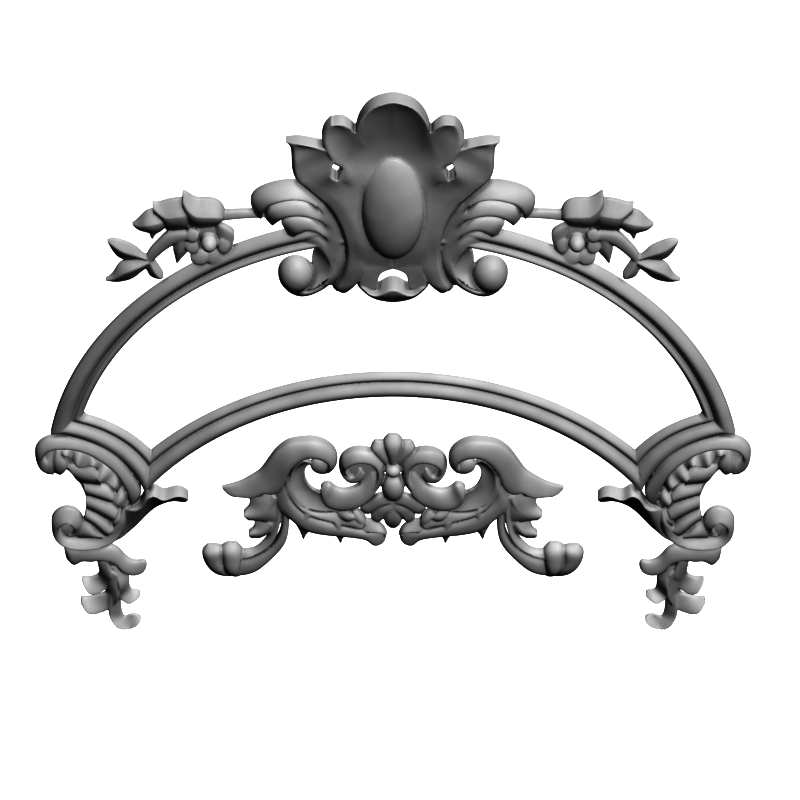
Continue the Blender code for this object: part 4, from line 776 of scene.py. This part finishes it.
@dataclass
class Carving:
    """One piece: the left half of its strokes, united, worked over, cut flat at the back and mirrored.

    The grain is the remesh's spacing in mm, and triangles is what is kept of the half. A blend acts on
    faces that turn forwards, from the second value of facing up, the first being how fast it sets in.
    """

    name: str
    node: str
    blends: tuple[Blend, ...] = ()
    grain: float = 1.2
    triangles: int = 96000
    facing: tuple[float, float] = (3.0, 0.6)
    relaxing: float = 0.6
    easing: int = 4
    members: list[bpy.types.Object] = field(default_factory=list)

    def deep(self) -> float:
        """Depth behind the back of the next member, in mm."""
        return BACK + BACK_STEP * len(self.members)

    def add(self, *shapes: "Stroke | Boss") -> None:
        """Build strokes and bosses as members of the piece."""
        for shape in shapes:
            self.members.append(shape.build(f"{self.name}_{len(self.members):02d}", self.deep()))

    def add_rows(self, rows: np.ndarray, profile: Profile, across: int) -> None:
        """Build a strip from ready cross-sections."""
        label = f"{self.name}_{len(self.members):02d}"
        self.members.append(strip_solid(label, rows, profile, across, self.deep()))

    def unite(self) -> bpy.types.Object:
        """Unite the members into one solid.

        Returns:
            The united half.
        """
        piece = self.members[0]
        piece.name = self.name
        group = bpy.data.collections.new(self.name + "_strokes")
        bpy.context.scene.collection.children.link(group)
        for member in self.members[1:]:
            for home in member.users_collection:
                home.objects.unlink(member)
            group.objects.link(member)
        only(piece)
        union = piece.modifiers.new("union", "BOOLEAN")
        union.operation = "UNION"
        union.solver = "MANIFOLD"
        union.operand_type = "COLLECTION"
        union.collection = group
        bpy.ops.object.modifier_apply(modifier=union.name)
        for member in self.members[1:]:
            bpy.data.objects.remove(member)
        bpy.data.collections.remove(group)
        return piece

    def work_over(self, piece: bpy.types.Object) -> None:
        """Remesh evenly, even out the blends and ease the edges.

        Args:
            piece: the united half.
        """
        remesh = piece.modifiers.new("even", "REMESH")
        remesh.mode = "VOXEL"
        remesh.voxel_size = self.grain * MM
        bpy.ops.object.modifier_apply(modifier=remesh.name)
        mesh = piece.data
        places = np.zeros(len(mesh.vertices) * 3)
        mesh.vertices.foreach_get("co", places)
        places = places.reshape(-1, 3)
        ends = np.zeros(len(mesh.edges) * 2, dtype=np.int64)
        mesh.edges.foreach_get("vertices", ends)
        ends = ends.reshape(-1, 2)
        normals = np.zeros(len(mesh.vertices) * 3)
        mesh.vertices.foreach_get("normal", normals)
        front = np.clip(-normals.reshape(-1, 3)[:, 1] * self.facing[0] - self.facing[1], 0.0, 1.0)
        valence = np.bincount(ends.ravel(), minlength=len(places))
        for blend in self.blends:
            weight = blend.weights(places / MM) * front
            chosen = np.flatnonzero(weight > 0)
            near = np.isin(ends[:, 0], chosen) | np.isin(ends[:, 1], chosen)
            links = ends[near]
            for _ in range(blend.rounds):
                total = np.bincount(links[:, 0], places[links[:, 1], 1], len(places))
                total += np.bincount(links[:, 1], places[links[:, 0], 1], len(places))
                gap = total[chosen] / valence[chosen] - places[chosen, 1]
                places[chosen, 1] += weight[chosen] * self.relaxing * gap
        mesh.vertices.foreach_set("co", places.ravel())
        ease = piece.modifiers.new("ease", "SMOOTH")
        ease.factor = 0.5
        ease.iterations = self.easing
        bpy.ops.object.modifier_apply(modifier=ease.name)

    def complete(self, material: bpy.types.Material) -> bpy.types.Object:
        """Finish the half, mirror it and put it in the CAD node's place.

        Args:
            material: the finish.

        Returns:
            The finished piece.
        """
        count = len(self.members)
        piece = self.unite()
        self.work_over(piece)
        self.cut_back(piece)
        faces = sum(len(polygon.vertices) - 2 for polygon in piece.data.polygons)
        thin = piece.modifiers.new("thin", "DECIMATE")
        thin.ratio = min(1.0, self.triangles / faces)
        bpy.ops.object.modifier_apply(modifier=thin.name)
        mirror = piece.modifiers.new("mirror", "MIRROR")
        mirror.use_bisect_axis[0] = True
        mirror.use_bisect_flip_axis[0] = True
        mirror.bisect_threshold = SEAM
        mirror.merge_threshold = SEAM
        bpy.ops.object.modifier_apply(modifier=mirror.name)
        bpy.ops.object.shade_smooth_by_angle(angle=SMOOTH_BELOW)
        piece.data.materials.clear()
        piece.data.materials.append(material)
        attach(piece, "root")
        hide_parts(self.node)
        triangles = sum(len(polygon.vertices) - 2 for polygon in piece.data.polygons)
        log.info("%s: %d strokes, %d faces thinned to %d triangles", self.name, count, faces, triangles)
        return piece

    def cut_back(self, piece: bpy.types.Object) -> None:
        """Cut the piece flat at y = 0 and close the cut.

        Args:
            piece: the worked half, which is active; not used, as the cut acts on the active object.
        """
        bpy.ops.object.mode_set(mode="EDIT")
        bpy.ops.mesh.select_all(action="SELECT")
        bpy.ops.mesh.bisect(
            plane_co=(0, 0, 0), plane_no=(0, 1, 0), use_fill=True, clear_outer=True, threshold=0.000001)
        bpy.ops.object.mode_set(mode="OBJECT")


CREST_BLENDS = (
    Blend(((352, 140), (349, 152), (352, 166), (356, 178)), 26.0, 80),
    Blend(((337, 190), (342, 202), (349, 214), (355, 228), (359, 242), (360, 258)), 9.0, 60),
    Blend(((326, 188), (336, 192)), 10.0, 60),
    Blend(((324, 212), (329, 222), (333, 236), (335, 252)), 14.0, 100),
    Blend(((360, 259), (376, 261), (393, 262)), 8.0, 60),
    Blend(((393, 159), (380, 162), (370, 171), (365, 184)), 8.0, 40),
    Blend(((284, 281), (289, 288), (297, 291)), 12.0, 40),
)


@dataclass(frozen=True)
class RailFrame:
    """The crescent frame: upper arch, corner rails and lower arch. Sizes in mm, angles in degrees."""

    upper_centre: float = -496.0
    upper_radius: float = 447.0
    lower_centre: float = -767.6
    lower_radius: float = 459.0
    corner_x: float = -495.0
    corner_z: float = -570.0
    corner_radius: float = 192.0
    moulding: RailMoulding = RailMoulding()

    def arc(self, centre: tuple[float, float], inner: float, outer: float, inner_span: tuple[float, float],
            outer_span: tuple[float, float], step: float) -> np.ndarray:
        """Cross-sections between two arcs round one centre, with mitred ends.

        Args:
            centre: x and z of the centre.
            inner: radius of the opening's side.
            outer: radius of the outside.
            inner_span: first and last angle of the opening's side.
            outer_span: first and last angle of the outside.
            step: spacing in mm.

        Returns:
            Cross-sections.
        """
        count = round(abs(math.radians(inner_span[1] - inner_span[0])) * inner / step)
        a = np.radians(np.linspace(*inner_span, count + 1))
        b = np.radians(np.linspace(*outer_span, count + 1))
        rows = np.zeros((count + 1, 7))
        rows[:, 0] = centre[0] + inner * np.cos(a)
        rows[:, 1] = centre[1] + inner * np.sin(a)
        rows[:, 3] = centre[0] + outer * np.cos(b)
        rows[:, 4] = centre[1] + outer * np.sin(b)
        return rows

    def carve(self, piece: Carving) -> None:
        """Add the rails, running through both mitres, to the piece.

        Args:
            piece: the crest.
        """
        wide = self.moulding.width
        upper = self.arc((0.0, self.upper_centre), self.upper_radius, self.upper_radius + wide,
                         (93.0, 165.5), (93.0, 171.2), 7.0)
        corner = self.arc((self.corner_x, self.corner_z), self.corner_radius,
                          self.corner_radius - self.moulding.corner_width, (71.4, 35.4), (82.6, 15.2), 5.0)
        lower = self.arc((0.0, self.lower_centre), self.lower_radius, self.lower_radius - wide,
                         (137.9, 88.0), (145.9, 88.0), 7.0)
        piece.add_rows(np.concatenate([upper, corner[1:], lower[1:]]), Profile.RAIL, 28)


@dataclass(frozen=True)
class Cartouche:
    """Three-lobed body with legs, a pierced foot and the oval boss."""

    body: Stations = BODY
    lobes: tuple[Stations, ...] = (INNER_LOBE, OUTER_LOBE)
    leg: Stations = LEG
    foot: Stations = FOOT_PANEL
    lip: Stations = LIP
    boss: Boss = Boss(
        393, 210.5, 20, 43.0, 87.0, 17.0, 23.8, sectors=96, rings=24, fullness=0.48, soften=0.5, lean=7.0)

    def carve(self, piece: Carving) -> None:
        """Add the cartouche's strokes to the piece.

        Args:
            piece: the crest.
        """
        piece.add(Stroke(self.body, Profile.BOWL, across=16))
        piece.add(*[Stroke(lobe, Profile.LOBE, across=16) for lobe in self.lobes])
        piece.add(Stroke(self.leg, Profile.BANK, across=16))
        piece.add(Stroke(self.foot, Profile.DISH), Stroke(self.lip, Profile.DISH))
        piece.add(self.boss)


@dataclass(frozen=True)
class SideScroll:
    """Scroll beside the cartouche: base, four fanned bands, trough and ball."""

    base: Stations = SCROLL_BASE
    bands: tuple[Stations, ...] = (BAND_1, BAND_2, BAND_3, BAND_4)
    trough: Stations = TROUGH
    ball: Boss = Boss(295.5, 270.5, 0, 24.5, 30.5, 4.0, 26.0, sectors=48, rings=16)

    def carve(self, piece: Carving) -> None:
        """Add the scroll's strokes to the piece.

        Args:
            piece: the crest.
        """
        piece.add(Stroke(self.base, across=16))
        piece.add(*[Stroke(band, lean=0.5) for band in self.bands])
        piece.add(Stroke(self.trough, Profile.DISH), self.ball)


@dataclass(frozen=True)
class FlowerSpray:
    """Stem, three-part rose, leafy stalk and the open flower."""

    stem: Stations = SPRAY_STEM
    petals: tuple[Stations, ...] = (ROSE_1, ROSE_2, ROSE_3)
    sepals: tuple[Stations, ...] = (SEPAL_1, SEPAL_2, SEPAL_3, STALK_LEAF)
    stalk: Stations = STALK
    leaves: tuple[Stations, ...] = (LEAF_1, LEAF_2, LEAF_3)
    flower_leaf: Stations = FLOWER_LEAF
    flower: Boss = Boss(207.5, 243, 5, 23.0, 34.0, 4.0, 2.0, sectors=48, rings=10)
    flower_petals: tuple[Boss, ...] = tuple(
        Boss(*place_and_size, sectors=40, rings=10, fullness=0.45, lean=lean)
        for *place_and_size, lean in (
            (192.5, 237, 12, 9.5, 11.0, 9.0, 3.5, 2.0), (192.5, 248, 12, 10.0, 12.0, 9.0, 3.5, 2.0),
            (199.5, 259, 12, 13.0, 13.0, 8.0, 4.5, 2.5), (215.5, 259, 12, 13.5, 13.5, 8.0, 4.5, 2.5),
            (223.5, 247, 14, 9.0, 14.0, 10.5, 3.5, 2.0)))
    eye: Boss = Boss(209, 245.5, 18, 11.5, 12.5, 12.0, 16.0, sectors=36, rings=10)

    def carve(self, piece: Carving) -> None:
        """Add the spray's strokes to the piece.

        Args:
            piece: the crest.
        """
        piece.add(Stroke(self.stem))
        piece.add(*[Stroke(petal, Profile.FOLD, step=3.0) for petal in self.petals])
        piece.add(*[Stroke(sepal, Profile.RIDGE, across=8, step=3.0) for sepal in self.sepals])
        piece.add(Stroke(self.stalk))
        piece.add(*[Stroke(leaf, Profile.RIDGE, step=3.0) for leaf in self.leaves])
        piece.add(Stroke(self.flower_leaf, Profile.DISH), self.flower, *self.flower_petals, self.eye)


@dataclass(frozen=True)
class CornerShell:
    """Shell-shaped corner scroll: two bands, flutes, ruffles, knob, curl and side leaf."""

    floors: tuple[Stations, ...] = (SHELL_FLOOR, VOLUTE_FLOOR)
    bands: tuple[Stations, ...] = (SHELL_BAND, LOWER_BAND)
    turned: tuple[Stations, ...] = (CURL, KNOB)
    flutes: tuple[Stations, ...] = FLUTES
    ruffles: tuple[Stations, ...] = RUFFLES
    side_leaf: Stations = SIDE_LEAF

    def carve(self, piece: Carving) -> None:
        """Add the corner's strokes to the piece.

        Args:
            piece: the crest.
        """
        piece.add(*[Stroke(floor, Profile.DISH, across=4, step=8.0) for floor in self.floors])
        piece.add(*[Stroke(band, across=14, lean=0.6) for band in self.bands])
        piece.add(*[Stroke(member, step=3.0) for member in self.turned])
        piece.add(*[Stroke(flute, Profile.DISH, across=12, step=3.0) for flute in self.flutes])
        piece.add(*[Stroke(ruffle, Profile.DISH, across=8, step=3.0) for ruffle in self.ruffles])
        piece.add(Stroke(self.side_leaf, Profile.DISH, step=3.0))


@dataclass(frozen=True)
class Pendant:
    """Hanging ornament below the corner: a plate with a turned tip and four lobes."""

    plate: Stations = PLATE
    floor: Stations = PENDANT_FLOOR
    lobes: tuple[Stations, ...] = PENDANT_LOBES

    def carve(self, piece: Carving) -> None:
        """Add the pendant's strokes to the piece."""
        piece.add(Stroke(self.plate, lean=0.8), Stroke(self.floor, Profile.DISH, across=4, step=8.0))
        piece.add(*[Stroke(lobe, step=3.0, lean=0.8) for lobe in self.lobes])


@dataclass(frozen=True)
class CentreOrnament:
    """Leaf scrolls meeting at a fan, a pear and three tongues."""

    dished: tuple[Stations, ...] = (CRESCENT, EYE_FLOOR, *TAIL_LEAVES)
    rolled: tuple[Stations, ...] = (
        BIG_SCROLL, RIM, SWEEP, TAIL_INNER, TAIL_OUTER, INNER_SCROLL, TRAY, SWEEP_TIP, *THORNS,
        *TAIL_BULBS, TONGUE_MIDDLE, *TONGUES, FAN_SIDE, FAN_MIDDLE)
    folds: tuple[Stations, ...] = LEAF_FOLDS
    bosses: tuple[Boss, ...] = (
        Boss(322.5, 466.5, 8, 17.0, 15.5, 5.0, 9.0, sectors=36, rings=10),
        Boss(393, 489, 12, 16.0, 24.0, 7.0, 16.0, sectors=48, rings=14),
        Boss(393, 470, 12, 11.5, 10.5, 10.0, 14.0, sectors=36, rings=10))

    def carve(self, piece: Carving) -> None:
        """Add the ornament's strokes to the piece.

        Args:
            piece: the centre ornament.
        """
        piece.add(*[Stroke(stations, Profile.DISH) for stations in self.dished])
        piece.add(*[Stroke(stations, across=14, step=3.5, lean=0.6) for stations in self.rolled])
        piece.add(*[Stroke(fold, Profile.DISH, step=3.0) for fold in self.folds])
        piece.add(*self.bosses)


@dataclass(frozen=True)
class Studio:
    """Pale floor, soft top light and the camera, which looks down on the face by the drawing's tilt.

    Lengths are in metres and the lamp's spread in degrees. The display is linear, as the drawing's greys are.
    """

    floor_z: float = -0.83
    floor_size: float = 9.0
    picture_row: float = 400.0
    picture_column: float = 400.0
    distance: float = 4.0
    lamp_strength: float = 5.6
    lamp_spread: float = 14.0
    lamp_aim: tuple[float, float, float] = (-0.26, 0.38, -0.89)
    room_light: float = 0.03
    display_gamma: float = 0.4545

    def floor(self) -> None:
        """Lay the floor."""
        bpy.ops.object.select_all(action="DESELECT")
        bpy.ops.mesh.primitive_plane_add(size=self.floor_size, location=(0, 0, self.floor_z))
        ground = bpy.context.object
        ground.name = "floor"
        paper = bpy.data.materials.new("pale_floor")
        paper.use_nodes = True
        shader = paper.node_tree.nodes["Principled BSDF"]
        shader.inputs["Base Color"].default_value = (0.92, 0.92, 0.92, 1.0)
        shader.inputs["Roughness"].default_value = 0.9
        shader.inputs["Emission Color"].default_value = (1.0, 1.0, 1.0, 1.0)
        shader.inputs["Emission Strength"].default_value = 0.35
        ground.data.materials.append(paper)
        ground.visible_diffuse = False
        ground.visible_glossy = False

    def lights(self) -> None:
        """Hang a broad light high above, a little right of the middle, over a dim even room."""
        lamp = bpy.data.lights.new("top_light", "SUN")
        lamp.energy = self.lamp_strength
        lamp.angle = math.radians(self.lamp_spread)
        lamp.use_shadow = False
        holder = bpy.data.objects.new("top_light", lamp)
        bpy.context.scene.collection.objects.link(holder)
        holder.location = (0.5, -0.6, 2.0)
        holder.rotation_mode = "QUATERNION"
        holder.rotation_quaternion = Vector(self.lamp_aim).to_track_quat("-Z", "Y")
        room = bpy.data.worlds.new("room")
        room.use_nodes = True
        background = room.node_tree.nodes["Background"]
        background.inputs["Color"].default_value = (1.0, 1.0, 1.0, 1.0)
        path = room.node_tree.nodes.new("ShaderNodeLightPath")
        level = room.node_tree.nodes.new("ShaderNodeMapRange")
        level.inputs["To Min"].default_value = self.room_light
        level.inputs["To Max"].default_value = 1.0
        room.node_tree.links.new(path.outputs["Is Camera Ray"], level.inputs["Value"])
        room.node_tree.links.new(level.outputs["Result"], background.inputs["Strength"])
        bpy.context.scene.world = room
        bpy.context.scene.view_settings.view_transform = "Standard"
        bpy.context.scene.view_settings.gamma = self.display_gamma

    def camera(self) -> None:
        """Aim the camera square to the drawing."""
        look = Vector((
            (self.picture_column - MIDDLE) * UNIT * MM, 0.0,
            (LEVEL - self.picture_row) * UNIT * MM / math.cos(TILT)))
        back = Vector((0.0, -math.cos(TILT), math.sin(TILT)))
        view = bpy.data.cameras.new("camera")
        view.type = "ORTHO"
        view.ortho_scale = PICTURE * UNIT * MM
        view.clip_end = 20.0
        holder = bpy.data.objects.new("camera", view)
        bpy.context.scene.collection.objects.link(holder)
        holder.location = look + back * self.distance
        holder.rotation_euler = (math.pi / 2 - TILT, 0.0, 0.0)
        bpy.context.scene.camera = holder

    def set_up(self) -> None:
        """Make the floor, the lights and the camera."""
        self.floor()
        self.lights()
        self.camera()


def main() -> None:
    """Build both carvings, dress them and set up the studio."""
    logging.basicConfig(level=logging.INFO, format="%(name)s: %(message)s")
    material = PrimedWood().material()
    crest = Carving("crest_carving", "crest", CREST_BLENDS)
    for part in (RailFrame(), Cartouche(), SideScroll(), FlowerSpray(), CornerShell(), Pendant()):
        part.carve(crest)
    crest.complete(material)
    centre = Carving("centre_carving", "centre_ornament", triangles=70000)
    CentreOrnament().carve(centre)
    centre.complete(material)
    Studio().set_up()


if __name__ == "__main__":
    main()
